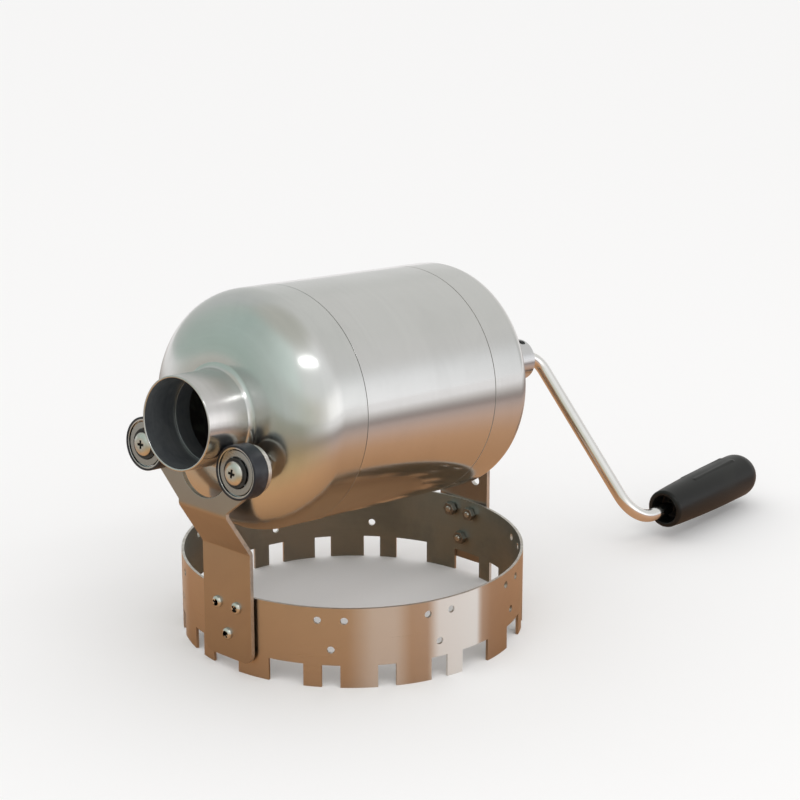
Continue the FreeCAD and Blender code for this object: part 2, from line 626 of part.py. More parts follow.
def roller(name, side):
    place = (DRUM_PLACE,
             shifted("-dims.roller_front", f"{side} * {ROLLER_SIDE}", f"-{ROLLER_DROP}"))
    middle = "(dims.bearing_width / 2)"

    def groove(race):
        return f"sqrt(dims.groove_radius ^ 2 - (dims.ball_circle - {race}) ^ 2)"

    inner_groove = groove("dims.inner_race")
    inner = turned(f"{name}_inner_race", (
        ("0", "dims.bearing_bore"),
        ("dims.bearing_width", "dims.bearing_bore"),
        ("dims.bearing_width", "dims.inner_race"),
        (f"{middle} + {inner_groove}", "dims.inner_race", "cw", "dims.groove_radius"),
        (f"{middle} - {inner_groove}", "dims.inner_race"),
        ("0", "dims.inner_race"),
    ))
    outer_groove = groove("dims.outer_race")
    outer = turned(f"{name}_outer_race", (
        ("0", "dims.outer_race"),
        (f"{middle} - {outer_groove}", "dims.outer_race", "cw", "dims.groove_radius"),
        (f"{middle} + {outer_groove}", "dims.outer_race"),
        ("dims.bearing_width", "dims.outer_race"),
        ("dims.bearing_width", "dims.bearing_radius"),
        ("0", "dims.bearing_radius"),
    ))
    sleeve_inside = f"(dims.bearing_radius + {TOUCH})"
    sleeve_end = f"(dims.bearing_width + {TOUCH})"
    sleeve = turned(f"{name}_roller_sleeve", (
        (f"-{TOUCH}", "dims.sleeve_lip"),
        (f"-{TOUCH}", sleeve_inside),
        (sleeve_end, sleeve_inside),
        (sleeve_end, "dims.sleeve_lip"),
        (f"{sleeve_end} + dims.sleeve_wall", "dims.sleeve_lip"),
        (f"{sleeve_end} + dims.sleeve_wall", "dims.bearing_radius + dims.sleeve_wall"),
        (f"-{TOUCH} - dims.sleeve_wall", "dims.bearing_radius + dims.sleeve_wall"),
        (f"-{TOUCH} - dims.sleeve_wall", "dims.sleeve_lip"),
    ))
    shields = []
    for end, face, inwards in (("front", "dims.shield_inset", 1),
                               ("rear", "(dims.bearing_width - dims.shield_inset)", -1)):
        face_back = f"({face} + {inwards} * dims.shield_sheet)"
        rim_face = f"({face} + {inwards} * dims.shield_step)"
        rim_back = f"({rim_face} + {inwards} * dims.shield_sheet)"
        shields.append(turned(f"{name}_{end}_shield", (
            (face, "dims.shield_hole"),
            (face_back, "dims.shield_hole"),
            (face_back, "dims.shield_face - dims.shield_sheet"),
            (rim_back, "dims.shield_face - dims.shield_sheet"),
            (rim_back, f"dims.outer_race - {TOUCH}"),
            (rim_face, f"dims.outer_race - {TOUCH}"),
            (rim_face, "dims.shield_face"),
            (face, "dims.shield_face"),
        )))
        seat(shields[-1], *place)

    balls = []
    for index in range(BALLS):
        ball = document.addObject("Part::Sphere", f"{name}_ball_{index + 1}")
        ball.setExpression("Radius", "dims.ball_radius")
        seat(ball, *place, spun(f"{index} * 360 / {BALLS}"), shifted(middle, 0, "dims.ball_circle"))
        balls.append(ball)

    cage = turned(f"{name}_ball_cage", (
        (f"{middle} - dims.cage_half_width", "dims.ball_circle - dims.cage_half_wall"),
        (f"{middle} + dims.cage_half_width", "dims.ball_circle - dims.cage_half_wall"),
        (f"{middle} + dims.cage_half_width", "dims.ball_circle + dims.cage_half_wall"),
        (f"{middle} - dims.cage_half_width", "dims.ball_circle + dims.cage_half_wall"),
    ))
    pocket_sketch = new_sketch(cage, "XY_Plane", f"{name}_cage_pocket", "dims.ball_circle")
    draw_circle(pocket_sketch, middle, 0, "dims.groove_radius")
    polar(cage, pocket(cage, pocket_sketch, "2 * dims.ball_radius"), "X_Axis", BALLS, 360)

    bush = turned(f"{name}_axle_bush", (
        (BUSH_FRONT, "dims.axle_radius + dims.fit_gap"),
        (f"dims.roller_front - dims.head_front - {TOUCH}", "dims.axle_radius + dims.fit_gap"),
        (f"dims.roller_front - dims.head_front - {TOUCH}", "dims.spacer_radius"),
        (f"dims.bearing_width + {TOUCH}", "dims.spacer_radius"),
        (f"dims.bearing_width + {TOUCH}", f"dims.bearing_bore - {TOUCH}"),
        (BUSH_FRONT, f"dims.bearing_bore - {TOUCH}"),
    ))
    washer = turned(f"{name}_axle_washer", (
        (f"{BUSH_FRONT} - {TOUCH} - dims.washer_sheet", "dims.axle_radius + dims.fit_gap"),
        (f"{BUSH_FRONT} - {TOUCH}", "dims.axle_radius + dims.fit_gap"),
        (f"{BUSH_FRONT} - {TOUCH}", "dims.washer_radius"),
        (f"{BUSH_FRONT} - {TOUCH} - dims.washer_sheet", "dims.washer_radius"),
    ))
    screw_length = ("(dims.roller_front - dims.head_front + dims.plate + dims.axle_nut_height"
                    " + dims.thread_end)")
    screw = pan_screw(f"{name}_axle_screw", "dims.axle_radius", screw_length,
                      "dims.axle_head_radius", "dims.axle_head_height",
                      "dims.axle_cross")
    nut = hex_nut(f"{name}_axle_nut", "dims.axle_radius", "dims.axle_nut_flats",
                  "dims.axle_nut_height")
    for piece in (inner, outer, sleeve, cage, bush, washer):
        seat(piece, *place)
    seat(screw, *place, shifted(f"{BUSH_FRONT} - 2 * {TOUCH} - dims.washer_sheet"),
         spun(-5 * side))
    seat(nut, *place,
         shifted(f"dims.roller_front - dims.head_front + dims.plate + {TOUCH}"), spun(15 * side))
    keep(inner, outer, sleeve, group(f"{name}_bearing_shields", shields),
         group(f"{name}_bearing_balls", balls), cage, bush, washer, screw, nut)


# ---------------------------------------------------------------- drum
# Two pressed caps on a rolled tube. The tube's swaged ends slide into the caps.

def dome(side, edge, end, flat, knuckle, offset):
    """Corners of one surface of a pressed dome, from its edge to its flat end, with a small
    knuckle arc and a large crown arc that meet in a common tangent.

    side is -1 for the front and 1 for the rear; offset is how far the surface lies inside
    the outer one."""
    depth, rise = f"({end} - {edge})", f"(dims.drum_radius - {flat} - {knuckle})"
    crown = f"(({depth} ^ 2 + {rise} ^ 2 - {knuckle} ^ 2) / (2 * ({depth} - {knuckle})))"
    reach = f"(({crown} - {offset}) / ({crown} - {knuckle}))"
    meet_along = f"({end} - {crown} + ({crown} - {depth}) * {reach})"
    meet_radius = f"({flat} + {rise} * {reach})"
    turn = "ccw" if side < 0 else "cw"
    return ((f"({side}) * {edge}", f"dims.drum_radius - {offset}", turn, f"{knuckle} - {offset}"),
            (f"({side}) * {meet_along}", meet_radius, turn, f"{crown} - {offset}"),
            (f"({side}) * ({end} - {offset})", flat))


def reversed_arcs(corners):
    """The same arcs, run from the other end."""
    turns = {"cw": "ccw", "ccw": "cw"}
    result = []
    for index in range(len(corners) - 1, -1, -1):
        across, up = corners[index][:2]
        if index > 0 and len(corners[index - 1]) == 4:
            _, _, turn, radius = corners[index - 1]
            result.append((across, up, turns[turn], radius))
        else:
            result.append((across, up))
    return tuple(result)


def drum():
    inside = "(dims.drum_radius - dims.wall)"
    front = ("dims.front_edge", "dims.front_end", "dims.front_flat", "dims.front_knuckle")
    front_rim = "-(dims.front_seam + dims.seam_gap)"
    collar_outside = f"(dims.neck_radius - dims.neck_wall - {TOUCH})"
    collar_inside = f"({collar_outside} - dims.wall)"
    front_cap = turned("front_cap", (
        (front_rim, "dims.drum_radius"),
        *dome(-1, *front, "0"),
        ("-dims.front_end", collar_outside),
        ("-dims.collar_end", collar_outside),
        ("-dims.collar_end", collar_inside),
        ("-(dims.front_end - dims.wall)", collar_inside),
        *reversed_arcs(dome(-1, *front, "dims.wall")),
        (front_rim, inside),
    ))
    rear = ("dims.rear_edge", "dims.rear_end", "dims.rear_flat", "dims.rear_knuckle")
    rear_rim = "(dims.rear_seam + dims.seam_gap)"
    rear_cap = turned("rear_cap", (
        (rear_rim, "dims.drum_radius"),
        *dome(1, *rear, "0"),
        ("dims.rear_end", "dims.hub_spigot"),
        ("dims.rear_end - dims.wall", "dims.hub_spigot"),
        *reversed_arcs(dome(1, *rear, "dims.wall")),
        (rear_rim, inside),
    ))
    spigot_outside = f"({inside} - dims.fit_gap)"
    spigot_inside = f"({spigot_outside} - dims.wall)"
    tube = turned("drum_tube", (
        ("-dims.front_seam - dims.spigot", spigot_outside),
        ("-dims.front_seam", spigot_outside),
        ("-dims.front_seam", "dims.drum_radius"),
        ("dims.rear_seam", "dims.drum_radius"),
        ("dims.rear_seam", spigot_outside),
        ("dims.rear_seam + dims.spigot", spigot_outside),
        ("dims.rear_seam + dims.spigot", spigot_inside),
        ("dims.rear_seam - dims.wall", spigot_inside),
        ("dims.rear_seam - dims.wall", inside),
        ("-dims.front_seam + dims.wall", inside),
        ("-dims.front_seam + dims.wall", spigot_inside),
        ("-dims.front_seam - dims.spigot", spigot_inside),
    ))
    foot = f"(-dims.front_end - {TOUCH})"
    flare_start = "(-dims.front_end - dims.flare_radius)"
    neck = turned("neck_tube", (
        ("-dims.mouth", "dims.neck_radius - dims.neck_wall"),
        ("-dims.mouth", "dims.neck_radius"),
        (flare_start, "dims.neck_radius", "ccw", "dims.flare_radius"),
        (f"{flare_start} + dims.flare_radius * sin(70)",
         "dims.neck_radius + dims.flare_radius * (1 - cos(70))"),
        (foot, "dims.neck_radius + dims.flare_radius * (1 - cos(70))"),
        (foot, "dims.neck_radius - dims.neck_wall"),
    ))
    vanes = []
    for index in range(VANES):
        vane = new_body(f"vane_{index + 1}")
        section = new_sketch(vane, "YZ_Plane", f"vane_{index + 1}_section",
                             "-dims.vane_start")
        root = f"(sqrt(({inside}) ^ 2 - dims.vane_foot ^ 2) - 2 * {TOUCH})"
        draw_path(section, (
            ("0", f"-{root}"),
            ("dims.vane_foot", f"-{root}"),
            ("dims.vane_foot", f"-{root} + dims.wall"),
            ("dims.wall", f"-{root} + dims.wall"),
            ("dims.wall", f"-{root} + dims.vane_height"),
            ("0", f"-{root} + dims.vane_height"),
        ))
        pad(vane, section, "dims.vane_length")
        seat(vane, DRUM_PLACE, spun(f"{index} * 360 / {VANES}"))
        vanes.append(vane)
    for piece in (front_cap, rear_cap, tube, neck):
        seat(piece, DRUM_PLACE)
    keep(front_cap, tube, rear_cap, neck, group("stirring_vanes", vanes))


# ---------------------------------------------------------------- hub and rear bush

def hub_and_bush():
    flange_inner = f"({REAR_HEAD} - dims.bush_flange_sheet - {TOUCH})"
    thrust = f"({flange_inner} - dims.bush_gap)"
    seat_start = f"(dims.rear_end + {TOUCH})"
    hub = turned("drum_hub", (
        ("dims.rear_end - dims.spigot_depth", "0"),
        ("dims.rear_end - dims.spigot_depth", "dims.hub_spigot - dims.fit_gap"),
        (seat_start, "dims.hub_spigot - dims.fit_gap"),
        (seat_start, "dims.hub_shoulder"),
        (thrust, "dims.hub_shoulder"),
        (thrust, "dims.hub_radius"),
        ("dims.hub_end - dims.hub_chamfer", "dims.hub_radius"),
        ("dims.hub_end", "dims.hub_radius - dims.hub_chamfer"),
        ("dims.hub_end", "dims.rod_radius + dims.fit_gap"),
        ("dims.bore_start", "dims.rod_radius + dims.fit_gap"),
        ("dims.bore_start", "0"),
    ))
    screw_hole = new_sketch(hub, "XY_Plane", "set_screw_hole", "dims.hub_radius")
    draw_circle(screw_hole, "dims.set_screw_place", 0, "dims.set_screw_radius + dims.fit_gap")
    pocket(hub, screw_hole, "2 * (dims.hub_radius - dims.rod_radius / 2)")
    seat(hub, DRUM_PLACE, spun("dims.set_screw_turn"))

    screw = new_body("hub_set_screw")
    section = new_sketch(screw, "XY_Plane", "set_screw_section",
                         f"dims.rod_radius + {TOUCH}")
    draw_circle(section, "dims.set_screw_place", 0, "dims.set_screw_radius")
    pad(screw, section, "dims.hub_radius - dims.rod_radius - dims.set_screw_sunk")
    socket = new_sketch(screw, "XY_Plane", "set_screw_socket", "dims.hub_radius")
    draw_path(socket, [(f"dims.set_screw_place + dims.socket_radius * cos({turn})",
                        f"dims.socket_radius * sin({turn})") for turn in range(0, 360, 60)])
    pocket(screw, socket, "2 * dims.socket_depth")
    seat(screw, DRUM_PLACE, spun("dims.set_screw_turn"))

    bush = turned("rear_bush", (
        (flange_inner, "dims.hub_radius + dims.fit_gap"),
        (flange_inner, "dims.bush_flange"),
        (f"{REAR_HEAD} - {TOUCH}", "dims.bush_flange"),
        (f"{REAR_HEAD} - {TOUCH}", f"dims.hub_radius + dims.bush_wall + dims.fit_gap - {TOUCH}"),
        (f"{flange_inner} + dims.bush_length",
         f"dims.hub_radius + dims.bush_wall + dims.fit_gap - {TOUCH}"),
        (f"{flange_inner} + dims.bush_length", "dims.hub_radius + dims.fit_gap"),
    ))
    seat(bush, DRUM_PLACE)
    keep(hub, screw, bush)


# ---------------------------------------------------------------- crank and grip
# The rod is bent twice in one plane. In the crank's frame X is the drum's axis and Z points
# away from it in the plane of the bends.

CORNER_ALONG = "(dims.crank_bend + dims.crank_reach * tan(dims.crank_lean))"
CRANK_PLACE = (DRUM_PLACE, spun("dims.crank_turn"))
GRIP_PLACE = CRANK_PLACE + (shifted(CORNER_ALONG, 0, "dims.crank_reach"),
                            spun("dims.grip_lean", "0; 1; 0"))


def crank_rod():
    body = new_body("crank_rod")
    arm = "(90 - dims.crank_lean)"
    first = f"(dims.hub_bend_radius * tan({arm} / 2))"
    second = f"(dims.grip_bend_radius * tan(({arm} + dims.grip_lean) / 2))"
    route = new_sketch(body, "XZ_Plane", "rod_route")
    draw_path(route, (
        ("dims.bore_start + 1", "0"),
        (f"dims.crank_bend - {first}", "0", "ccw", "dims.hub_bend_radius"),
        (f"dims.crank_bend + {first} * cos{arm}", f"{first} * sin{arm}"),
        (f"{CORNER_ALONG} - {second} * cos{arm}", f"dims.crank_reach - {second} * sin{arm}",
         "cw", "dims.grip_bend_radius"),
        (f"{CORNER_ALONG} + {second} * cos(dims.grip_lean)",
         f"dims.crank_reach - {second} * sin(dims.grip_lean)"),
        (f"{CORNER_ALONG} + (dims.grip_start + dims.rod_tip) * cos(dims.grip_lean)",
         f"dims.crank_reach - (dims.grip_start + dims.rod_tip) * sin(dims.grip_lean)"),
    ), closed=False)
    section = new_sketch(body, "YZ_Plane", "rod_section", "dims.bore_start + 1")
    draw_circle(section, 0, 0, "dims.rod_radius")
    document.recompute()
    rod = body.newObject("PartDesign::AdditivePipe", "rod_pipe")
    rod.Profile = section
    rod.Spine = (route, [f"Edge{index}" for index in range(1, 6)])
    document.recompute()
    length = sum(edge.Length for edge in route.Shape.Edges)
    volume = math.pi * number("dims.rod_radius") ** 2 * length
    assert abs(body.Shape.Volume / volume - 1) < NEAR, "the rod isn't a full pipe"
    seat(body, *CRANK_PLACE)
    return body


def grip():
    start = "dims.grip_start"
    swell = f"({start} + dims.grip_swell)"
    nose = f"({start} + dims.grip_nose)"
    shelf = f"({start} + dims.grip_shelf)"
    recess = f"({start} + dims.grip_recess)"
    bore = "(dims.rod_radius + dims.grip_play)"
    # The sides swell in one long arc that ends along the grip; the nose is half a ball, and
    # the plug carries its tip.
    run, rise = "(dims.grip_swell - dims.grip_edge)", "(dims.grip_large - dims.grip_small)"
    side_radius = f"(({run} ^ 2 + {rise} ^ 2) / (2 * {rise}))"
    end = f"({nose} + sqrt(dims.grip_large ^ 2 - dims.grip_cavity ^ 2))"
    handle = turned("grip", (
        (start, "dims.grip_recess_radius"),
        (start, "dims.grip_small - dims.grip_edge"),
        (f"{start} + dims.grip_edge", "dims.grip_small", "cw", side_radius),
        (swell, "dims.grip_large"),
        (nose, "dims.grip_large", "cw", "dims.grip_large"),
        (end, "dims.grip_cavity"),
        (shelf, "dims.grip_cavity"),
        (shelf, bore),
        (recess, bore),
        (recess, "dims.grip_recess_radius"),
    ))
    side_view = new_sketch(handle, "XZ_Plane", "thumb_pad")
    draw_path(side_view, (
        (f"{start} + dims.pad_start", "dims.grip_recess_radius"),
        (f"{start} + dims.pad_end", "dims.grip_recess_radius"),
        (f"{start} + dims.pad_end", "dims.pad_high"),
        (f"{start} + dims.pad_start", "dims.pad_low"),
    ))
    pad(handle, side_view, "dims.pad_width", both_sides=True)
    nut_start = f"({shelf} + dims.nut_play)"
    push_nut = turned("grip_push_nut", (
        (nut_start, f"dims.rod_radius + {TOUCH}"),
        (f"{nut_start} + dims.nut_sheet", f"dims.rod_radius + {TOUCH}"),
        (f"{nut_start} + dims.nut_sheet", "dims.nut_disc"),
        (nut_start, "dims.nut_disc"),
    ))
    plug_radius = f"(dims.grip_cavity - {TOUCH})"
    plug = turned("grip_end_plug", (
        (f"{end} - dims.plug_length", "0"),
        (f"{end} - dims.plug_length", plug_radius),
        (f"{nose} + sqrt(dims.grip_large ^ 2 - {plug_radius} ^ 2)", plug_radius,
         "cw", "dims.grip_large"),
        (f"{nose} + dims.grip_large", "0"),
    ))
    seat(handle, *GRIP_PLACE, spun("dims.grip_turn"))
    seat(push_nut, *GRIP_PLACE)
    seat(plug, *GRIP_PLACE)
    keep(handle, plug, push_nut)


# ---------------------------------------------------------------- everything

keep(foot_ring(), front_bracket(), rear_bracket())
for end, side in (("front", -1), ("rear", 1)):
    keep(*bracket_fasteners(end, side))
for name, side in SIDES:
    roller(name, side)
drum()
hub_and_bush()
keep(crank_rod())
grip()
document.recompute()

for item in document.Objects:
    if {"Invalid", "Error"} & set(item.State):
        raise RuntimeError(f"{item.Label} failed: {item.State}")

os.makedirs("parts", exist_ok=True)
for piece in pieces:
    shape = piece.Shape
    if shape.isNull() or not shape.isValid():
        raise RuntimeError(f"{piece.Label} has no valid shape")
    shape.exportStep(f"parts/{piece.Label}.step")
    print(f"{piece.Label:24s} {len(shape.Solids)} solids {shape.Volume / 1000:8.2f} cm3")
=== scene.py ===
# %% [markdown]
# # A stovetop coffee bean roaster
# The object is a steel drum with an open neck. The neck turns on two ball bearings, a bent
# crank turns the drum from behind, and everything stands on a notched foot ring. The
# measured model is loaded first and never moved: it is the ruler for all that follows. In
# this lesson we dress it, which means that each plain solid that shows gets a finer piece
# with eased edges, and every piece gets a finish.

# %% Load the measured model
import json
import math

import bpy
from mathutils import Matrix, Vector


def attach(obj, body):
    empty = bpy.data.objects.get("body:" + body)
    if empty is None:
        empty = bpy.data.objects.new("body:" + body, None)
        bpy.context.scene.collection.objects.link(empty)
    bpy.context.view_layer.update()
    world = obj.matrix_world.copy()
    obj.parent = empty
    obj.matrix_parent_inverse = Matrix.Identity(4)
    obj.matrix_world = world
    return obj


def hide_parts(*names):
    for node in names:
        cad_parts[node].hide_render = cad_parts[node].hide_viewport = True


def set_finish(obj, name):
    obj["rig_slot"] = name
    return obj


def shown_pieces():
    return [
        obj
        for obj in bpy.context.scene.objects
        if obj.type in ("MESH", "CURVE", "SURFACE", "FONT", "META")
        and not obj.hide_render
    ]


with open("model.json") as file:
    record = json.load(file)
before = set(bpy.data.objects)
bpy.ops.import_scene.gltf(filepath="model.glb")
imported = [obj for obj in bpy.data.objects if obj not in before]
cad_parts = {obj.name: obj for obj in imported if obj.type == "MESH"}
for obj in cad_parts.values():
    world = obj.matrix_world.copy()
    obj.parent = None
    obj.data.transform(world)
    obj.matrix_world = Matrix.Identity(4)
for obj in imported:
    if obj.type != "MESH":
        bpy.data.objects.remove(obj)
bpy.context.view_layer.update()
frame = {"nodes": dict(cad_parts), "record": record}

# %% [markdown]
# ## Rulers
# Blender counts in metres and a maker in millimetres, so one helper turns the one into the
# other. Most parts are turned about the drum's axis, which falls a little towards the
# crank. It is easier to model such a part upright, about Blender's own Z, and to lay it in
# place at the end, so we keep one matrix that carries an upright part onto the drum's axis.

# %% The drum's axis
AXIS_HEIGHT = 105.7
AXIS_FALL = math.radians(6)
ALONG = Vector((math.cos(AXIS_FALL), 0, -math.sin(AXIS_FALL)))
UPWARD = Vector((math.sin(AXIS_FALL), 0, math.cos(AXIS_FALL)))
RIGHT = Vector((0, -1, 0))
SAME_PLACE = 0.002


def mm(*values):
    """Millimetres as metres: one number, or a vector of three."""
    return values[0] / 1000 if len(values) == 1 else Vector(values) / 1000


def frame_of(x_axis, y_axis, z_axis, origin):
    """The matrix that carries X, Y and Z onto three directions from an origin in metres."""
    turn = Matrix((x_axis, y_axis, z_axis)).transposed().to_4x4()
    return Matrix.Translation(origin) @ turn


def facing(place, way):
    """The matrix that carries Z onto a direction, from a place in metres."""
    return Matrix.Translation(place) @ way.to_track_quat("Z", "Y").to_matrix().to_4x4()


def way_round(degrees):
    """The way out from the drum's axis, so many degrees to the right from straight up."""
    turn = math.radians(degrees)
    return UPWARD * math.cos(turn) + RIGHT * math.sin(turn)


AXIS_MIDDLE = mm(0, 0, AXIS_HEIGHT)
ON_DRUM = frame_of(UPWARD, RIGHT, ALONG, AXIS_MIDDLE)
print("the drum's axis falls by", round(math.degrees(AXIS_FALL), 1), "degrees")

# %% [markdown]
# ## Working as by hand
# Operators act on whatever is selected, and loading left the measured nodes selected. So
# each step starts with nothing selected, and picks only its own piece.

# %% Selecting and placing
def select_only(piece=None):
    """Select one piece and nothing else, or nothing at all."""
    if bpy.context.object and bpy.context.object.mode != "OBJECT":
        bpy.ops.object.mode_set(mode="OBJECT")
    bpy.ops.object.select_all(action="DESELECT")
    if piece:
        piece.select_set(True)
    bpy.context.view_layer.objects.active = piece


def edit(piece):
    select_only(piece)
    bpy.ops.object.mode_set(mode="EDIT")
    bpy.ops.mesh.select_mode(type="VERT")
    bpy.ops.mesh.select_all(action="SELECT")


def leave_edit():
    bpy.ops.object.mode_set(mode="OBJECT")


def close_edit():
    """Turn every face outwards and leave edit mode."""
    bpy.ops.mesh.select_all(action="SELECT")
    bpy.ops.mesh.normals_make_consistent(inside=False)
    leave_edit()


def merge_doubles():
    """Merge vertices that share a place, and leave everything selected."""
    bpy.ops.mesh.select_all(action="SELECT")
    bpy.ops.mesh.remove_doubles(threshold=mm(SAME_PLACE))
    bpy.ops.mesh.select_all(action="SELECT")


def pull(way):
    """Extrude what is selected by a step in metres."""
    bpy.ops.mesh.extrude_region_move(TRANSFORM_OT_translate={"value": way})


def settle():
    """Write the active piece's place, turn and size into its mesh."""
    bpy.ops.object.transform_apply(location=True, rotation=True, scale=True)


def lay(piece, place):
    """Carry a piece to its place, for good."""
    select_only(piece)
    piece.matrix_world = place @ piece.matrix_world
    settle()
    return piece


def modify(piece, name, kind, **settings):
    """Add a modifier, set it and apply it at once."""
    change = piece.modifiers.new(name, kind)
    for setting, value in settings.items():
        setattr(change, setting, value)
    select_only(piece)
    bpy.ops.object.modifier_apply(modifier=name)


def belongs(piece, body, slot, *nodes):
    """Attach a piece to the body that carries it, set its finish slot, and hide the nodes it
    stands for.
    """
    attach(piece, body)
    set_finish(piece, slot)
    if nodes:
        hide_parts(*nodes)


print("helpers are ready")

# %% [markdown]
# ## Eased edges
# No real edge is perfectly sharp. A Bevel modifier that only acts above an angle gives each
# corner a narrow rounded strip that catches the light, and hardened normals keep the flats
# beside it flat.

# %% Ease the edges of a piece
def ease(piece, width, steps=2, angle=32):
    select_only(piece)
    bpy.ops.object.shade_smooth_by_angle(angle=math.radians(angle))
    if width:
        modify(piece, "eased_edges", "BEVEL", width=mm(width), segments=steps,
               limit_method="ANGLE", angle_limit=math.radians(angle), harden_normals=True)


print("edges can be eased")

# %% [markdown]
# ## Turned parts
# Caps, tubes, bearings and the hub are all turned shapes. A maker draws the section of such
# a part, so we draw that: one vertex is extruded from corner to corner, and Spin sweeps the
# line once round Z. The line ends where it starts, so the wall is closed, and merging the
# doubles closes the last seam.

# %% Spin a section
def arc(along, radius, size, first, last, steps=12):
    """Corners on an arc of the section: 0 degrees points along the axis, 90 outwards."""
    corners = []
    for index in range(steps + 1):
        angle = math.radians(first + (last - first) * index / steps)
        corners.append((along + size * math.cos(angle), radius + size * math.sin(angle)))
    return corners


def spin_section(name, corners, steps):
    """A piece turned about Z from (along, radius) corners in millimetres.

    A section that starts and ends on the axis is left open there: its poles close it."""
    closed = corners[0][1] > 0
    last = corners[0]
    select_only()
    bpy.ops.mesh.primitive_plane_add(size=mm(1), location=mm(last[1], 0, last[0]))
    piece = bpy.context.object
    piece.name = piece.data.name = name
    settle()
    edit(piece)
    bpy.ops.mesh.merge(type="CENTER")
    for corner in corners[1:] + ([last] if closed else []):
        step = mm(corner[1] - last[1], 0, corner[0] - last[0])
        bpy.ops.mesh.extrude_vertices_move(TRANSFORM_OT_translate={"value": step})
        last = corner
    merge_doubles()
    bpy.ops.mesh.spin(steps=steps, angle=math.tau, center=(0, 0, 0), axis=(0, 0, 1))
    merge_doubles()
    close_edit()
    return piece


def turned(name, corners, place, width, steps):
    piece = lay(spin_section(name, corners, steps), place)
    ease(piece, width)
    print(name, len(piece.data.polygons), "faces")
    return piece


print("sections can be spun")

# %% [markdown]
# ## The drum's shells
# The drum is three pressings: a deep front cap, a rolled tube and a flatter rear cap. The
# tube's swaged ends slide into the caps, which leaves a fine dark line at each seam. The
# shells' edges there stay nearly sharp, because a wide eased edge would turn that dark line
# into a bright one. Both caps have a tight knuckle arc that runs into a wide crown arc; the
# two arcs share a tangent, so the reflection flows over the join without a kink.

# %% Front cap, tube and rear cap
DRUM_RADIUS = 50.48
WALL = 0.8
FRONT_SEAM = -44.7
REAR_SEAM = 36.7
TUBE_FRONT = -44.4
TUBE_REAR = 36.4
TUBE_IN = 49.7
SPIGOT_OUT = 49.65
SPIGOT_IN = 48.85
SEAM_EDGE = 0.08
DRUM_STEPS = 256
FRONT_DOME = {"edge": 58.2, "end": 80.0, "flat": 22.5, "knuckle": 19.5}
REAR_DOME = {"edge": 54.1, "end": 66.0, "flat": 20.0, "knuckle": 8.0}


def dome_arcs(side, inside, edge, end, flat, knuckle):
    """The knuckle and crown arcs of a cap, from its edge to its flat end."""
    depth = end - edge
    rise = DRUM_RADIUS - flat - knuckle
    crown = (depth ** 2 + rise ** 2 - knuckle ** 2) / (2 * (depth - knuckle))
    meet = math.degrees(math.atan2(rise, crown - depth))
    turn, stop = (meet, 0) if side > 0 else (180 - meet, 180)
    return (arc(side * edge, DRUM_RADIUS - knuckle, knuckle - inside, 90, turn, 18)
            + arc(side * (end - crown), flat, crown - inside, turn, stop, 22)[1:])


def cap_shell(name, side, seam, dome, hole, slot, node):
    """A cap: its outside, the corners round the hole in its flat end, and its inside."""
    shell = turned(name, (
        [(seam, DRUM_RADIUS)] + dome_arcs(side, 0, **dome) + hole
        + dome_arcs(side, WALL, **dome)[::-1] + [(seam, DRUM_RADIUS - WALL)]),
        ON_DRUM, SEAM_EDGE, DRUM_STEPS)
    belongs(shell, "drum", slot, node)
    return shell


front_shell = cap_shell("drum_front_shell", -1, FRONT_SEAM, FRONT_DOME, [
    (-80.0, 18.47), (-87.0, 18.47), (-87.0, 17.8), (-86.85, 17.67), (-79.2, 17.67)],
    "front_cap_steel", "front_cap")
rear_shell = cap_shell("drum_rear_shell", 1, REAR_SEAM, REAR_DOME, [
    (66.0, 6.0), (65.2, 6.0)], "drum_steel", "rear_cap")
tube_shell = turned("drum_tube_shell", [
    (-51.0, SPIGOT_OUT), (TUBE_FRONT, SPIGOT_OUT), (TUBE_FRONT, DRUM_RADIUS),
    (TUBE_REAR, DRUM_RADIUS), (TUBE_REAR, SPIGOT_OUT), (43.0, SPIGOT_OUT), (43.0, SPIGOT_IN),
    (35.7, SPIGOT_IN), (35.7, TUBE_IN), (-43.7, TUBE_IN), (-43.7, SPIGOT_IN),
    (-51.0, SPIGOT_IN)], ON_DRUM, SEAM_EDGE, DRUM_STEPS)
belongs(tube_shell, "drum", "drum_steel", "drum_tube")

# %% [markdown]
# ## The neck
# The neck is a tube whose foot flares on to the front cap and whose rim is dressed round,
# because beans are poured over it. The rim needs real arcs, not a bevel: it is the brightest
# line of the whole mouth.

# %% Neck tube
NECK_RADIUS = 19.5
NECK_BORE = 18.5
MOUTH = -103.7
RIM = 0.45
FLARE = 2.8
FLARE_START = -82.83
NECK_FOOT = -79.95
neck_shell = turned("neck_shell", (
    arc(MOUTH + RIM, NECK_BORE + RIM, RIM, 270, 180, 6)
    + arc(MOUTH + RIM, NECK_RADIUS - RIM, RIM, 180, 90, 6)
    + arc(FLARE_START, NECK_RADIUS + FLARE, FLARE, 270, 356, 18)
    + [(NECK_FOOT, 22.11), (NECK_FOOT, NECK_BORE)]), ON_DRUM, 0.0, 192)
belongs(neck_shell, "drum", "neck_steel", "neck_tube")

# %% [markdown]
# ## The hub
# Behind the drum a turned hub runs in a bronze bush and holds the crank with a set screw. It
# is spun like the shells, and the screw's hole is cut with a Boolean, as a drill would.

# %% Drilled holes
def drill(piece, cutters):
    """Cut a piece with other meshes, which are used up."""
    for cutter in cutters:
        modify(piece, "hole", "BOOLEAN", operation="DIFFERENCE", solver="EXACT", object=cutter)
        bpy.data.objects.remove(cutter)


def drill_bit(radius, start, stop, vertices=48):
    """A round cutter between two points in metres."""
    select_only()
    way = stop - start
    bpy.ops.mesh.primitive_cylinder_add(vertices=vertices, radius=mm(radius), depth=way.length)
    return lay(bpy.context.object, facing((start + stop) / 2, way))


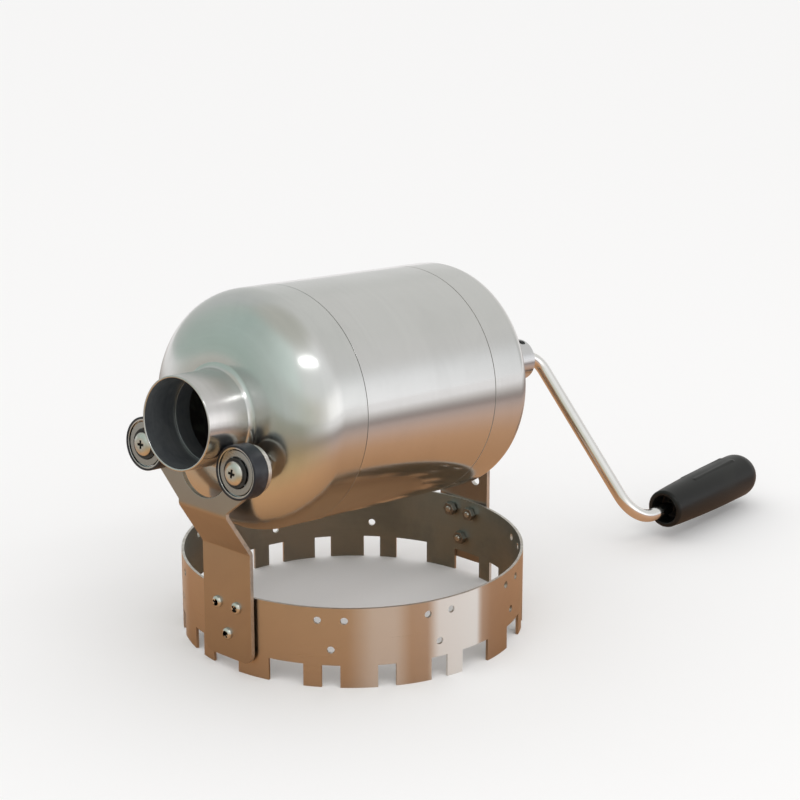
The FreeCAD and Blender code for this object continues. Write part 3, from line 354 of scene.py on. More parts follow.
# %% The hub and its bush
JOURNAL = 9.4
SHOULDER = 13.0
ROD_BORE = 3.05
SET_SCREW_PLACE = 111.8
screw_way = way_round(16)
screw_foot = AXIS_MIDDLE + ALONG * mm(SET_SCREW_PLACE)
hub = lay(spin_section("hub_turning", [
    (65.0, 0), (65.0, 5.95), (66.03, 5.95), (66.03, SHOULDER), (77.53, SHOULDER),
    (77.53, JOURNAL), (114.8, JOURNAL), (115.6, JOURNAL - 0.8), (115.6, ROD_BORE),
    (90.0, ROD_BORE), (90.0, 0)], 128), ON_DRUM)
drill(hub, [drill_bit(2.05, screw_foot + screw_way * mm(1.5), screw_foot + screw_way * mm(14))])
ease(hub, 0.15)
belongs(hub, "drum", "hub_steel", "drum_hub")
print("hub", len(hub.data.polygons), "faces")

bush = turned("rear_bush_turning", [
    (77.84, 9.45), (77.84, 15.0), (79.33, 15.0), (79.33, 11.5), (83.03, 11.5), (83.03, 9.45)],
    ON_DRUM, 0.2, 128)
belongs(bush, "stand", "bush_bronze", "rear_bush")

# %% [markdown]
# ## The foot ring
# The ring is one strip of sheet rolled round, with notches cut in its lower edge so that
# flame and air pass under it. We start from a circle of 360 vertices, one to a degree, so
# that every notch ends exactly on a vertex. Three extrusions give a low band and two higher
# ones, and the low band's faces are deleted where a notch is. Solidify then gives the sheet
# its thickness, inwards, and the screw holes are drilled right through.

# %% Roll and notch the strip
RING_RADIUS = 75.0
RING_SHEET = 1.2
NOTCH_HEIGHT = 10.0
HIGHER_BANDS = (12.5, 13.0)
NOTCH_STEP = 6.0
NOTCH_TURN = -3.0
NOTCHES = ((0, 1), (4, 1), (6.5, 0.5), (9.5, 0.5), (12.5, 0.5))
HOLE_RADIUS = 1.6
HOLE_GROUP = ((5.6, 30.0), (-5.6, 30.0), (0.0, 17.0))
GROUP_STEP = 36


def in_notch(x, y):
    angle = (math.degrees(math.atan2(y, x)) - NOTCH_TURN) % 90
    return any(abs((angle - middle * NOTCH_STEP + 45) % 90 - 45) < half * NOTCH_STEP
               for middle, half in NOTCHES)


def choose_faces(piece, test):
    """In edit mode, select the faces whose centre and normal pass a test."""
    bpy.ops.mesh.select_all(action="DESELECT")
    leave_edit()
    for face in piece.data.polygons:
        face.select = test(face.center, face.normal)
    bpy.ops.object.mode_set(mode="EDIT")


select_only()
bpy.ops.mesh.primitive_circle_add(vertices=360, radius=mm(RING_RADIUS))
ring = bpy.context.object
ring.name = "foot_ring_sheet"
edit(ring)
for rise in (NOTCH_HEIGHT, *HIGHER_BANDS):
    bpy.ops.mesh.extrude_edges_move(TRANSFORM_OT_translate={"value": mm(0, 0, rise)})
bpy.ops.mesh.select_mode(type="FACE")
choose_faces(ring, lambda centre, normal: (
    centre.z < mm(NOTCH_HEIGHT) and in_notch(centre.x, centre.y)))
bpy.ops.mesh.delete(type="FACE")
close_edit()
print("ring strip has", len(ring.data.polygons), "faces")

# %% Thicken and drill the strip
modify(ring, "sheet", "SOLIDIFY", thickness=mm(RING_SHEET), offset=-1, use_even_offset=True)
bits = []
for turn in range(0, 180, GROUP_STEP):
    way = Vector((math.cos(math.radians(turn)), math.sin(math.radians(turn)), 0))
    side = Vector((-way.y, way.x, 0))
    for across, level in HOLE_GROUP:
        middle = side * mm(across) + mm(0, 0, level)
        reach = way * mm(RING_RADIUS + 5)
        bits.append(drill_bit(HOLE_RADIUS, middle - reach, middle + reach, 32))
drill(ring, bits)
ease(ring, 0.2)
belongs(ring, "stand", "ring_steel", "foot_ring")
print("foot ring has", len(ring.data.polygons), "faces")

# %% [markdown]
# ## Pieces with eased edges
# Brackets, screws and nuts already have the right shape in the measured model. Its mesh is
# loose triangles, so we leave it alone and work on a copy: doubles are merged, flat
# triangles dissolve into whole faces, and then the edges are eased like all the others.

# %% Copy a measured node
def eased_copy(name, node, body, slot, width, steps=2):
    mesh = frame["nodes"][node].data.copy()
    mesh.name = name
    mesh.materials.clear()
    piece = bpy.data.objects.new(name, mesh)
    bpy.context.collection.objects.link(piece)
    edit(piece)
    merge_doubles()
    bpy.ops.mesh.dissolve_limited(angle_limit=math.radians(0.4))
    bpy.ops.mesh.select_all(action="SELECT")
    bpy.ops.mesh.set_normals_from_faces()
    leave_edit()
    if mesh.has_custom_normals:
        bpy.ops.mesh.customdata_custom_splitnormals_clear()
    ease(piece, width, steps)
    belongs(piece, body, slot, node)
    print(name, len(mesh.polygons), "faces")
    return piece


plates = [eased_copy(node + "_plate", node, "stand", "bracket_steel", 0.3, 3)
          for node in ("front_bracket", "rear_bracket")]

# %% Screws, nuts and vanes
for kind, width in (("screws", 0.1), ("nuts", 0.25)):
    for end in ("front", "rear"):
        node = f"{end}_bracket_{kind}"
        eased_copy(node + "_dressed", node, "stand", "screw_steel", width)
for side in ("left", "right"):
    for kind, width in (("screw", 0.12), ("nut", 0.3)):
        node = f"{side}_axle_{kind}"
        eased_copy(node + "_dressed", node, "stand", "screw_steel", width)
eased_copy("set_screw_dressed", "hub_set_screw", "drum", "set_screw_black", 0.12)
eased_copy("stirring_vanes_dressed", "stirring_vanes", "drum", "inner_steel", 0.15)

# %% [markdown]
# ## The two rollers
# The neck rolls on two ordinary ball bearings, each in a thin black sleeve that folds over
# its edge. From the front they read as a stack of rings: black sleeve, bright race, grey
# shield, black washer, and the screw's head. The washer's black is partly painted shade: it
# also stands in for the shade under the screw's head. Each ring is its own turned piece. We
# model the left roller and give the right one copies, each with its own mesh.

# %% Turn the left roller and copy it
ROLLER_SIDE = 26.6243
ROLLER_DROP = 15.6827
ROLLER_FRONT = -95.0
RACE = 11.0
WIDTH = 7.0
LIP = 10.35
LIP_ROUND = 0.4
PLAY = 0.03
AXLE_HOLE = 2.55
LEFT_AXLE = (AXIS_MIDDLE + ALONG * mm(ROLLER_FRONT) - UPWARD * mm(ROLLER_DROP)
             - RIGHT * mm(ROLLER_SIDE))
ON_LEFT_AXLE = frame_of(UPWARD, RIGHT, ALONG, LEFT_AXLE)


def shield_section(face, inwards):
    back, foot = face + inwards * 0.3, face + inwards * 1.1
    return [(face, 6.6), (back, 6.6), (back, 8.8), (foot, 8.8), (foot, 9.1), (face, 9.1)]


def both_sides(name, corners, width, steps, body, slot, node=None):
    """A turned piece on the left axle, and its copy on the right one."""
    left = turned("left_" + name, corners, ON_LEFT_AXLE, width, steps)
    select_only(left)
    bpy.ops.object.duplicate()
    right = bpy.context.object
    right.name = right.data.name = "right_" + name
    lay(right, Matrix.Translation(mm(0, -2 * ROLLER_SIDE, 0)))
    for side, piece in (("left_", left), ("right_", right)):
        belongs(piece, side + body if body != "stand" else body, slot)
        if node:
            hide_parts(side + node)


both_sides("sleeve_ring", (
    [(-PLAY, LIP), (-PLAY, RACE + PLAY), (WIDTH + PLAY, RACE + PLAY), (WIDTH + PLAY, LIP),
     (WIDTH + 0.28, LIP)]
    + arc(WIDTH - 0.12, 10.85, LIP_ROUND, 0, 90, 8) + arc(0.12, 10.85, LIP_ROUND, 90, 180, 8)
    + [(-0.28, LIP)]), 0.06, 160, "roller", "sleeve_black", "roller_sleeve")
both_sides("race_ring", [
    (0.0, 9.75), (1.2, 9.75), (1.2, 9.5), (5.8, 9.5), (5.8, 9.75), (WIDTH, 9.75),
    (WIDTH, RACE), (0.0, RACE)], 0.1, 160, "roller", "bearing_steel", "outer_race")
both_sides("front_shield", shield_section(0.3, 1), 0.09, 160, "roller", "shield_steel",
           "bearing_shields")
both_sides("rear_shield", shield_section(6.7, -1), 0.09, 160, "roller", "shield_steel")
both_sides("axle_bush_ring", [
    (-0.1, AXLE_HOLE), (8.47, AXLE_HOLE), (8.47, 5.6), (7.03, 5.6), (7.03, 3.97),
    (-0.1, 3.97)], 0.1, 96, "stand", "bush_steel", "axle_bush")
# a black washer under each screw head; its black is partly painted shade under the head
both_sides("washer_ring", [
    (-0.53, AXLE_HOLE), (-0.13, AXLE_HOLE), (-0.13, 6.3), (-0.53, 6.3)],
    0.1, 96, "stand", "washer_black", "axle_washer")

# %% [markdown]
# ## The crank rod
# The crank is one polished rod with two bends. A rod is bent round a former, and that is
# just what Spin does to the end ring of a tube. So we extrude a circle straight, spin its
# end round the first former, extrude, spin it back round the second, and extrude to the
# tip. We work flat, in the plane of the bends, and turn the rod into place at the end.

# %% Bend the rod
ROD_RADIUS = 3.0
ROD_FOOT = 91.0
FIRST_CORNER = 126.9
REACH = 88.2
LEAN = math.radians(16.3)
GRIP_LEAN = math.radians(5.9)
HUB_FORMER = 10.0
GRIP_FORMER = 18.0
GRIP_START = 24.0
ROD_TIP = GRIP_START + 57.0
crank_out = way_round(147)
ON_CRANK = frame_of(ALONG, crank_out.cross(ALONG), crank_out, AXIS_MIDDLE)
first_turn = math.radians(90) - LEAN
second_turn = first_turn + GRIP_LEAN
first_run = HUB_FORMER * math.tan(first_turn / 2)
second_run = GRIP_FORMER * math.tan(second_turn / 2)
arm_way = Vector((math.cos(first_turn), 0, math.sin(first_turn)))
grip_way = Vector((math.cos(GRIP_LEAN), 0, -math.sin(GRIP_LEAN)))
arm_length = REACH / math.sin(first_turn) - first_run - second_run

select_only()
bpy.ops.mesh.primitive_circle_add(
    vertices=48, radius=mm(ROD_RADIUS), fill_type="NGON", location=mm(ROD_FOOT, 0, 0),
    rotation=(0, math.radians(90), 0))
rod = bpy.context.object
rod.name = "crank_rod_bent"
settle()
edit(rod)
pull(mm(FIRST_CORNER - first_run - ROD_FOOT, 0, 0))
former = mm(FIRST_CORNER - first_run, 0, HUB_FORMER)
bpy.ops.mesh.spin(steps=24, angle=first_turn, center=former, axis=(0, 1, 0))
pull(arm_way * mm(arm_length))
arm_end = mm(FIRST_CORNER, 0, 0) + arm_way * mm(first_run + arm_length)
former = arm_end + Vector((arm_way.z, 0, -arm_way.x)) * mm(GRIP_FORMER)
bpy.ops.mesh.spin(steps=30, angle=-second_turn, center=former, axis=(0, 1, 0))
pull(grip_way * mm(ROD_TIP - second_run))
close_edit()
lay(rod, ON_CRANK)
ease(rod, 0.3)
belongs(rod, "drum", "rod_steel", "crank_rod")
print("the rod has", len(rod.data.polygons), "faces")

# %% [markdown]
# ## The grip
# The grip is moulded plastic: a long swelling body with a ball nose and a flat thumb pad
# whose edges melt into the body. A Boolean joins the pad to the turned body, but leaves a
# hard crease. Voxel Remesh wraps both in one even skin, and Smooth rounds the crease as a
# mould would.

# %% Mould the grip
GRIP_SMALL = 9.1
GRIP_LARGE = 10.7
GRIP_EDGE = 0.8
SWELL = 50.0
NOSE = 64.3
RECESS = 6.8
RECESS_DEPTH = 9.0
CAVITY = 5.35
ROD_HOLE = 3.08
ON_GRIP = ON_CRANK @ frame_of(
    grip_way.cross(RIGHT), -RIGHT, grip_way,
    mm(FIRST_CORNER + REACH * math.tan(LEAN), 0, REACH))
swell_rise = GRIP_LARGE - GRIP_SMALL
swell_run = SWELL - GRIP_EDGE
swell_size = (swell_run ** 2 + swell_rise ** 2) / (2 * swell_rise)
swell_angle = math.degrees(math.asin(swell_run / swell_size))
body_outside = [(along + GRIP_START, out) for along, out in (
    [(0.0, RECESS), (0.0, GRIP_SMALL - GRIP_EDGE)]
    + arc(SWELL, GRIP_LARGE - swell_size, swell_size, 90 + swell_angle, 90, 24)
    + arc(NOSE, 0, GRIP_LARGE, 90, 30, 14))]
nose_end = body_outside[-1][0]
grip = spin_section("grip_moulding", body_outside + [
    (nose_end, CAVITY), (GRIP_START + SWELL, CAVITY), (GRIP_START + SWELL, ROD_HOLE),
    (GRIP_START + RECESS_DEPTH, ROD_HOLE), (GRIP_START + RECESS_DEPTH, RECESS)], 128)
print("grip body has", len(grip.data.polygons), "faces, nose ends at", round(nose_end, 2))

# %% Add the thumb pad and melt it in
PAD_SIZE = (4.6, 9.0, 37.0)
PAD_MIDDLE = GRIP_START + 40
PAD_TURN = math.radians(26)
PAD_SLOPE = math.atan(0.8 / PAD_SIZE[2])
select_only()
bpy.ops.mesh.primitive_cube_add(size=1, location=mm(8.4, 0, PAD_MIDDLE), scale=mm(*PAD_SIZE))
pad = bpy.context.object
settle()
edit(pad)
choose_faces(pad, lambda centre, normal: centre.x > mm(10) and normal.x > 0.9)
bpy.ops.transform.rotate(
    value=-PAD_SLOPE, orient_axis="Y",
    center_override=mm(GRIP_LARGE, 0, PAD_MIDDLE + PAD_SIZE[2] / 2))
leave_edit()
ease(pad, 1.1, 4)
lay(pad, Matrix.Rotation(PAD_TURN, 4, "Z"))

modify(grip, "pad", "BOOLEAN", operation="UNION", solver="EXACT", object=pad)
modify(grip, "skin", "REMESH", mode="VOXEL", voxel_size=mm(0.36))
modify(grip, "soften", "SMOOTH", factor=0.5, iterations=7)
bpy.data.objects.remove(pad)
lay(grip, ON_GRIP)
ease(grip, 0.0, angle=50)
belongs(grip, "grip", "grip_black", "grip")
print("grip has", len(grip.data.polygons), "faces")

# %% Close the grip
PLUG_FOOT = GRIP_START + 65.57
PLUG_DOME = 10.68
plug = turned("grip_plug_dome", (
    [(PLUG_FOOT, 0), (PLUG_FOOT, 5.27)]
    + arc(GRIP_START + NOSE, 0, PLUG_DOME, 29.6, 1, 10)
    + [(GRIP_START + NOSE + PLUG_DOME, 0)]), ON_GRIP, 0.0, 96)
belongs(plug, "grip", "grip_black", "grip_end_plug")
eased_copy("push_nut_dressed", "grip_push_nut", "drum", "screw_steel", 0.1)

# %% [markdown]
# ## Finishes
# A finish is more than a colour. Brushed steel has fine lines that all run one way, smudges
# where hands go, and a roughness that changes with both. The same effect serves many parts,
# so it is built once as a node group with named inputs, and each material sets its own
# values. The group gives back a colour, a roughness and a height.

# %% Wire nodes together
def wire(tree, source, target):
    tree.links.new(source, target)


def put(tree, value, socket):
    """Give a socket a number, a colour, or another node's output."""
    if isinstance(value, bpy.types.NodeSocket):
        wire(tree, value, socket)
    else:
        socket.default_value = (*value, 1) if isinstance(value, tuple) else value


def math_node(tree, kind, operation, values):
    """A Math or VectorMath node on numbers, vectors or other nodes' outputs."""
    node = tree.nodes.new("ShaderNode" + kind)
    node.operation = operation
    for socket, value in zip(node.inputs, values):
        put(tree, value, socket)
    return node.outputs


def calculate(tree, operation, *values):
    return math_node(tree, "Math", operation, values)[0]


def times(tree, first, second):
    return calculate(tree, "MULTIPLY", first, second)


def plus(tree, first, second):
    return calculate(tree, "ADD", first, second)


def blend_colours(tree, factor, first, second):
    node = tree.nodes.new("ShaderNodeMix")
    node.data_type = "RGBA"
    wire(tree, factor, node.inputs["Factor"])
    for name, value in (("A", first), ("B", second)):
        put(tree, value, next(s for s in node.inputs if s.name == name and s.type == "RGBA"))
    return next(s for s in node.outputs if s.type == "RGBA")


def noise(tree, place, size, detail, roughness=0.5, distortion=0.0):
    node = tree.nodes.new("ShaderNodeTexNoise")
    for name, value in (("Vector", place), ("Scale", size), ("Detail", detail),
                        ("Roughness", roughness), ("Distortion", distortion)):
        put(tree, value, node.inputs[name])
    return node.outputs["Fac"]


def remap(tree, value, low, high, to_low=0.0, to_high=1.0, curve="LINEAR"):
    """A Map Range node: low to high comes out as to_low to to_high, and never beyond."""
    node = tree.nodes.new("ShaderNodeMapRange")
    node.interpolation_type = curve
    for name, number in (("Value", value), ("From Min", low), ("From Max", high),
                         ("To Min", to_low), ("To Max", to_high)):
        put(tree, number, node.inputs[name])
    return node.outputs[0]


def share(tree, value, low, high):
    """How far a value has come from low to high, with soft ends."""
    return remap(tree, value, low, high, curve="SMOOTHSTEP")


print("nodes can be wired")

# %% Build a node group
def new_group(name, colours, numbers):
    """A group that takes a place, colours and numbers, and gives what a finish needs."""
    tree = bpy.data.node_groups.new(name, "ShaderNodeTree")

    def socket(label, way, kind):
        tree.interface.new_socket(label, in_out=way, socket_type="NodeSocket" + kind)

    socket("Place", "INPUT", "Vector")
    for label in colours:
        socket(label, "INPUT", "Color")
    for label in numbers:
        socket(label, "INPUT", "Float")
    for label, kind in (("Color", "Color"), ("Roughness", "Float"), ("Height", "Float")):
        socket(label, "OUTPUT", kind)
    take, give = tree.nodes.new("NodeGroupInput"), tree.nodes.new("NodeGroupOutput")
    return tree, take.outputs, give.inputs


print("groups can be built")

# %% [markdown]
# ## Brushed and turned steel
# A belt or a lathe tool leaves lines that run round the axis. So the pattern must change
# fast along the axis and slowly round it. The group takes a vector whose X runs along the
# axis. On a dome or a flat end the place along the axis hardly changes, so the distance
# from the axis is added to it, and the lines become circles there.

# %% The brushed steel group
def brushed_group():
    tree, take, give = new_group("brushed_steel", ("Steel", "Shade"), (
        "Lines per metre", "Rings", "Length", "Line strength", "Smudge size",
        "Smudge strength", "Rough low", "Rough high"))
    split = tree.nodes.new("ShaderNodeSeparateXYZ")
    wire(tree, take["Place"], split.inputs[0])
    x, y, z = split.outputs
    from_axis = calculate(tree, "SQRT", plus(tree, times(tree, y, y), times(tree, z, z)))
    run = calculate(tree, "SUBTRACT", x, times(tree, from_axis, take["Rings"]))

    def lines(density, detail):
        place = tree.nodes.new("ShaderNodeCombineXYZ")
        dense = times(tree, take["Lines per metre"], density)
        wire(tree, times(tree, run, dense), place.inputs[0])
        wire(tree, times(tree, y, take["Length"]), place.inputs[1])
        wire(tree, times(tree, z, take["Length"]), place.inputs[2])
        return noise(tree, place.outputs[0], 1.0, detail, 0.6)

    fine, broad = lines(1.0, 3), lines(0.12, 2)
    spots = share(tree, noise(tree, take["Place"], take["Smudge size"], 5, 0.62, 0.6),
                  0.42, 0.68)
    smudges = times(tree, spots, take["Smudge strength"])
    grain = plus(tree, times(tree, fine, 0.65), times(tree, broad, 0.35))
    centred = times(tree, calculate(tree, "SUBTRACT", grain, 0.5), take["Line strength"])
    tone = plus(tree, times(tree, centred, 3.0), plus(tree, smudges, 0.35))
    shaded = remap(tree, tone, 0.0, 1.0)
    rough = remap(tree, plus(tree, grain, times(tree, smudges, 0.8)), 0.3, 0.9,
                  take["Rough low"], take["Rough high"])
    wire(tree, blend_colours(tree, shaded, take["Steel"], take["Shade"]), give["Color"])
    wire(tree, rough, give["Roughness"])
    wire(tree, grain, give["Height"])
    return tree


BRUSHED = brushed_group()
print("group", BRUSHED.name, "has", len(BRUSHED.nodes), "nodes")

# %% [markdown]
# ## Moulded and blackened parts
# Moulded plastic and black oxide have no lines, but a fine even texture, a few dull marks
# and a slightly paler tone where they are handled. A second group serves them all.

# %% The moulded black group
def moulded_group():
    tree, take, give = new_group("moulded_black", ("Base", "Worn"), (
        "Grain size", "Mark size", "Mark strength", "Rough low", "Rough high"))
    grain = noise(tree, take["Place"], take["Grain size"], 2)
    marks = noise(tree, take["Place"], take["Mark size"], 6)
    worn = times(tree, share(tree, marks, 0.45, 0.7), take["Mark strength"])
    rough = remap(tree, plus(tree, times(tree, grain, 0.3), times(tree, marks, 0.7)),
                  0.3, 0.7, take["Rough low"], take["Rough high"])
    wire(tree, blend_colours(tree, worn, take["Base"], take["Worn"]), give["Color"])
    wire(tree, rough, give["Roughness"])
    wire(tree, grain, give["Height"])
    return tree


MOULDED = moulded_group()
print("group", MOULDED.name, "has", len(MOULDED.nodes), "nodes")

# %% [markdown]
# ## Materials from the groups
# Each material holds its own Principled shader. A Mapping node turns the object's
# coordinates so that X runs along the part's axis, the group makes the pattern, and a Bump
# node turns its height into a normal. Brushed lines also stretch a reflection across
# themselves: that is the shader's Anisotropic value. Its Tangent says which way the lines
# run, which is round the axis on a turned part, and one fixed way on a flat one.

# %% Make a material
def new_material(name):
    material = bpy.data.materials.new(name)
    material.use_nodes = True
    tree = material.node_tree
    return material, tree, tree.nodes["Principled BSDF"]


def patterned(name, group, values, bump, origin=(0, 0, 0), turn=(0, 0, 0)):
    """A material whose colour, roughness and relief come from a node group."""
    material, tree, shader = new_material(name)
    mapping = tree.nodes.new("ShaderNodeMapping")
    mapping.vector_type = "TEXTURE"
    mapping.inputs["Location"].default_value = origin
    mapping.inputs["Rotation"].default_value = turn
    source = tree.nodes.new("ShaderNodeTexCoord")
    wire(tree, source.outputs["Object"], mapping.inputs["Vector"])
    place = mapping.outputs[0]
    node = tree.nodes.new("ShaderNodeGroup")
    node.node_tree = group
    wire(tree, place, node.inputs["Place"])
    for label, value in values.items():
        put(tree, value, node.inputs[label])
    wire(tree, node.outputs["Color"], shader.inputs["Base Color"])
    wire(tree, node.outputs["Roughness"], shader.inputs["Roughness"])
    relief = tree.nodes.new("ShaderNodeBump")
    relief.inputs["Distance"].default_value = mm(bump[0])
    relief.inputs["Strength"].default_value = bump[1]
    wire(tree, node.outputs["Height"], relief.inputs["Height"])
    wire(tree, relief.outputs["Normal"], shader.inputs["Normal"])
    return material, tree, shader, place


def black(name, base, worn, mark_size, marks=0.4, grain_size=1500, low=0.35, high=0.55,
          bump=(0.02, 0.2), shine=0.5):
    material, _, shader, _ = patterned(name, MOULDED, {
        "Base": base, "Worn": worn, "Mark size": mark_size, "Mark strength": marks,
        "Grain size": grain_size, "Rough low": low, "Rough high": high}, bump)
    shader.inputs["Specular IOR Level"].default_value = shine
    return material


print("black finishes can be made")

# %% Stretch a reflection across its lines
def set_tangent(tree, way, shader):
    """The tangent counts in world directions, and the lines in the object's own."""
    world = tree.nodes.new("ShaderNodeVectorTransform")
    world.vector_type = "VECTOR"
    world.convert_from = "OBJECT"
    world.convert_to = "WORLD"
    put(tree, way, world.inputs[0])
    wire(tree, world.outputs[0], shader.inputs["Tangent"])


def way_round_axis(tree, place, turn):
    """The direction round the axis: the axis crossed with the way out from it."""
    flat = math_node(tree, "VectorMath", "MULTIPLY", (place, Vector((0, 1, 1))))[0]
    turn_back = tree.nodes.new("ShaderNodeVectorRotate")
    turn_back.rotation_type = "EULER_XYZ"
    turn_back.inputs["Rotation"].default_value = turn
    wire(tree, flat, turn_back.inputs["Vector"])
    axis = Matrix.Rotation(turn[1], 3, "Y") @ Vector((1, 0, 0))
    return math_node(tree, "VectorMath", "CROSS_PRODUCT", (axis, turn_back.outputs[0]))[0]


def steel(name, bright, shade, low, high, lines, strength, length=18, smudge=0.25,
          smudge_size=28, rings=0.8, bump=(0.01, 0.3), origin=(0, 0, 0), turn=(0, 0, 0),
          streak=0.0, lines_way=None, metal=1.0):
    material, tree, shader, place = patterned(name, BRUSHED, {
        "Steel": bright, "Shade": shade, "Rough low": low, "Rough high": high,
        "Lines per metre": lines, "Line strength": strength, "Length": length,
        "Smudge strength": smudge, "Smudge size": smudge_size, "Rings": rings},
        bump, origin, turn)
    shader.inputs["Metallic"].default_value = metal
    if streak:
        shader.inputs["Anisotropic"].default_value = streak
        shader.inputs["Anisotropic Rotation"].default_value = 0.25
        set_tangent(tree, lines_way or way_round_axis(tree, place, turn), shader)
    return material


print("steel finishes can be made")

# %% [markdown]
# ## The finishes of this object
# The drum is satin with lines round it. The ring and the brackets come from duller sheet
# with a straw tint from the heat. Screws, races and the rod are bright. The inside of the
# drum has darkened with use, and the same dark finish is painted shade on the floor of each
# seam.

# %% Steel finishes
DRUM_PLACE = {"origin": (0, 0, mm(AXIS_HEIGHT)), "turn": (0, AXIS_FALL, 0)}
RING_PLACE = {"turn": (0, math.radians(-90), 0)}
PLATE_PLACE = {"turn": (0, 0, math.radians(90)), "lines_way": Vector((0, 0, 1))}


FINISH = {
    "front_cap_steel": steel(
        "satin_front_cap", (0.72, 0.725, 0.71), (0.60, 0.61, 0.60), 0.17, 0.24, 2200, 0.22,
        streak=0.45, **DRUM_PLACE),
    "drum_steel": steel(
        "satin_drum", (0.74, 0.74, 0.73), (0.63, 0.63, 0.62), 0.12, 0.19, 2600, 0.22,
        streak=0.42, **DRUM_PLACE),
    "neck_steel": steel(
        "brushed_neck", (0.74, 0.73, 0.72), (0.60, 0.59, 0.58), 0.17, 0.28, 2400, 0.3,
        streak=0.7, **DRUM_PLACE),
    "hub_steel": steel(
        "turned_hub", (0.78, 0.78, 0.79), (0.62, 0.62, 0.63), 0.12, 0.24, 5200, 0.45, 8,
        streak=0.7, **DRUM_PLACE),
    "bush_bronze": steel(
        "oiled_bronze", (0.58, 0.41, 0.22), (0.36, 0.24, 0.12), 0.3, 0.45, 2400, 0.3,
        **DRUM_PLACE),
    # the drum's darkened inside, and also painted shade on the seam floors
    "inner_steel": steel(
        "darkened_inside_and_seam_shade", (0.46, 0.45, 0.41), (0.28, 0.27, 0.24), 0.35, 0.55, 1200, 0.3,
        30, 0.8, 60, metal=0.4, **DRUM_PLACE),
    "ring_steel": steel(
        "rolled_ring", (0.62, 0.545, 0.455), (0.53, 0.455, 0.385), 0.27, 0.30, 6500, 0.03,
        8, 0.5, 11, 0.0, (0.001, 0.1), streak=0.85, **RING_PLACE),
    "bracket_steel": steel(
        "bracket_sheet", (0.50, 0.48, 0.44), (0.44, 0.40, 0.37), 0.28, 0.36, 5200, 0.05,
        10, 0.4, 26, 0.0, (0.002, 0.1), streak=0.6, **PLATE_PLACE),
    "screw_steel": steel(
        "plated_screws", (0.80, 0.80, 0.75), (0.60, 0.58, 0.53), 0.26, 0.40, 3000, 0.2,
        60, 0.35, 300, 0.0),
    "bearing_steel": steel(
        "ground_races", (0.80, 0.81, 0.82), (0.62, 0.63, 0.64), 0.1, 0.2, 6000, 0.35, 10,
        streak=0.5, **DRUM_PLACE),
    "shield_steel": steel(
        "pressed_shields", (0.52, 0.53, 0.53), (0.38, 0.39, 0.39), 0.20, 0.32, 3500, 0.25,
        20),
    "bush_steel": steel(
        "turned_bush", (0.50, 0.50, 0.50), (0.34, 0.34, 0.34), 0.25, 0.4, 4000, 0.3, 12,
        **DRUM_PLACE),
    "rod_steel": steel(
        "polished_rod", (0.90, 0.90, 0.89), (0.78, 0.77, 0.75), 0.07, 0.15, 900, 0.15,
        400, 0.3, 90, 0.0, (0.004, 0.15)),
}
print(len(FINISH), "steel finishes")

# %% Black finishes
FINISH.update({
    "grip_black": black(
        "moulded_grip", (0.006, 0.0065, 0.006), (0.015, 0.016, 0.014), 70, 0.5, 2600,
        0.3, 0.46, (0.03, 0.25), 0.32),
    "sleeve_black": black(
        "rubbed_sleeve", (0.010, 0.012, 0.018), (0.045, 0.048, 0.056), 160, 0.5, 900,
        0.25, 0.45),
    # black washer, partly painted shade under the axle screw heads
    "washer_black": black("black_washer_and_painted_shade", (0.012, 0.012, 0.012), (0.05, 0.05, 0.05), 240),
    "set_screw_black": black(
        "black_oxide", (0.010, 0.011, 0.013), (0.09, 0.09, 0.09), 420, low=0.25, high=0.45,
        bump=(0.01, 0.2)),
})
print(len(FINISH), "finishes in all")

# %% [markdown]
# ## Dressing every piece
# A new piece has no material yet, and a measured node still has the plain one of its slot.
# Both know their slot's name, so one walk over all of them gives each the right finish.

# %% Give every piece its finish
SLOT_OF_NODE = {part["node"]: part["material_slot"] for part in frame["record"]["subparts"]}
for name, node in frame["nodes"].items():
    for slot in node.material_slots:
        slot.link = "OBJECT"
        slot.material = FINISH[SLOT_OF_NODE[name]]
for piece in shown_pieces():
    if piece.name not in frame["nodes"]:
        piece.data.materials.clear()
        piece.data.materials.append(FINISH[piece["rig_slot"]])

# %% [markdown]
# ## Insides and cut edges
# One sheet can show two finishes. The insides of the drum, neck and ring are stained and
# duller than their outsides, the narrow floor of each seam is painted dark as painted shade
# in the gap, and the neck's foot is polished together with the cap. An edge that was sheared
# is rougher and paler than the rolled face beside it, and its paler colour is also a painted
# highlight along the edge. Such faces get a second material, and they are picked by their
# place or by the way they face.

# %% Finish insides and cut edges
def second_finish(piece, material, test):
    piece.data.materials.append(material)
    chosen = 0
    for face in piece.data.polygons:
        if test(face.center, face.normal):
            face.material_index = len(piece.data.materials) - 1
            chosen += 1
    print(piece.name, "has", chosen, "faces of", material.name)


def way_out(centre):
    """The unit vector out from the drum's axis at a point, and its distance in metres."""
    from_axis = centre - AXIS_MIDDLE
    out = from_axis - ALONG * from_axis.dot(ALONG)
    return out.normalized(), out.length


def faces_in(centre, normal, limit=-0.05):
    return way_out(centre)[0].dot(normal) < limit


STAINED_NECK = steel(
    "stained_neck", (0.19, 0.20, 0.20), (0.09, 0.10, 0.11), 0.26, 0.40, 1400, 0.25,
    20, 0.6, 40, metal=0.4, **DRUM_PLACE)
SMOKED_RING = steel(
    "smoked_ring", (0.44, 0.46, 0.43), (0.31, 0.33, 0.31), 0.34, 0.46, 5200, 0.1,
    8, 0.6, 24, 0.0, (0.004, 0.2), streak=0.7, **RING_PLACE)
# paler than the sheet: partly the rough sheared metal, partly a painted highlight along the
# edges
SHEARED_EDGE_AND_HIGHLIGHT = steel(
    "sheared_edge_and_painted_highlight", (0.78, 0.76, 0.72), (0.50, 0.47, 0.43), 0.38, 0.52, 900, 0.5,
    200, 0.5, 160, 0.0, (0.02, 0.3))
DULL_NUTS = steel(
    "dull_nuts", (0.42, 0.41, 0.38), (0.25, 0.24, 0.22), 0.30, 0.45, 3000, 0.2,
    60, 0.4, 200, 0.0)

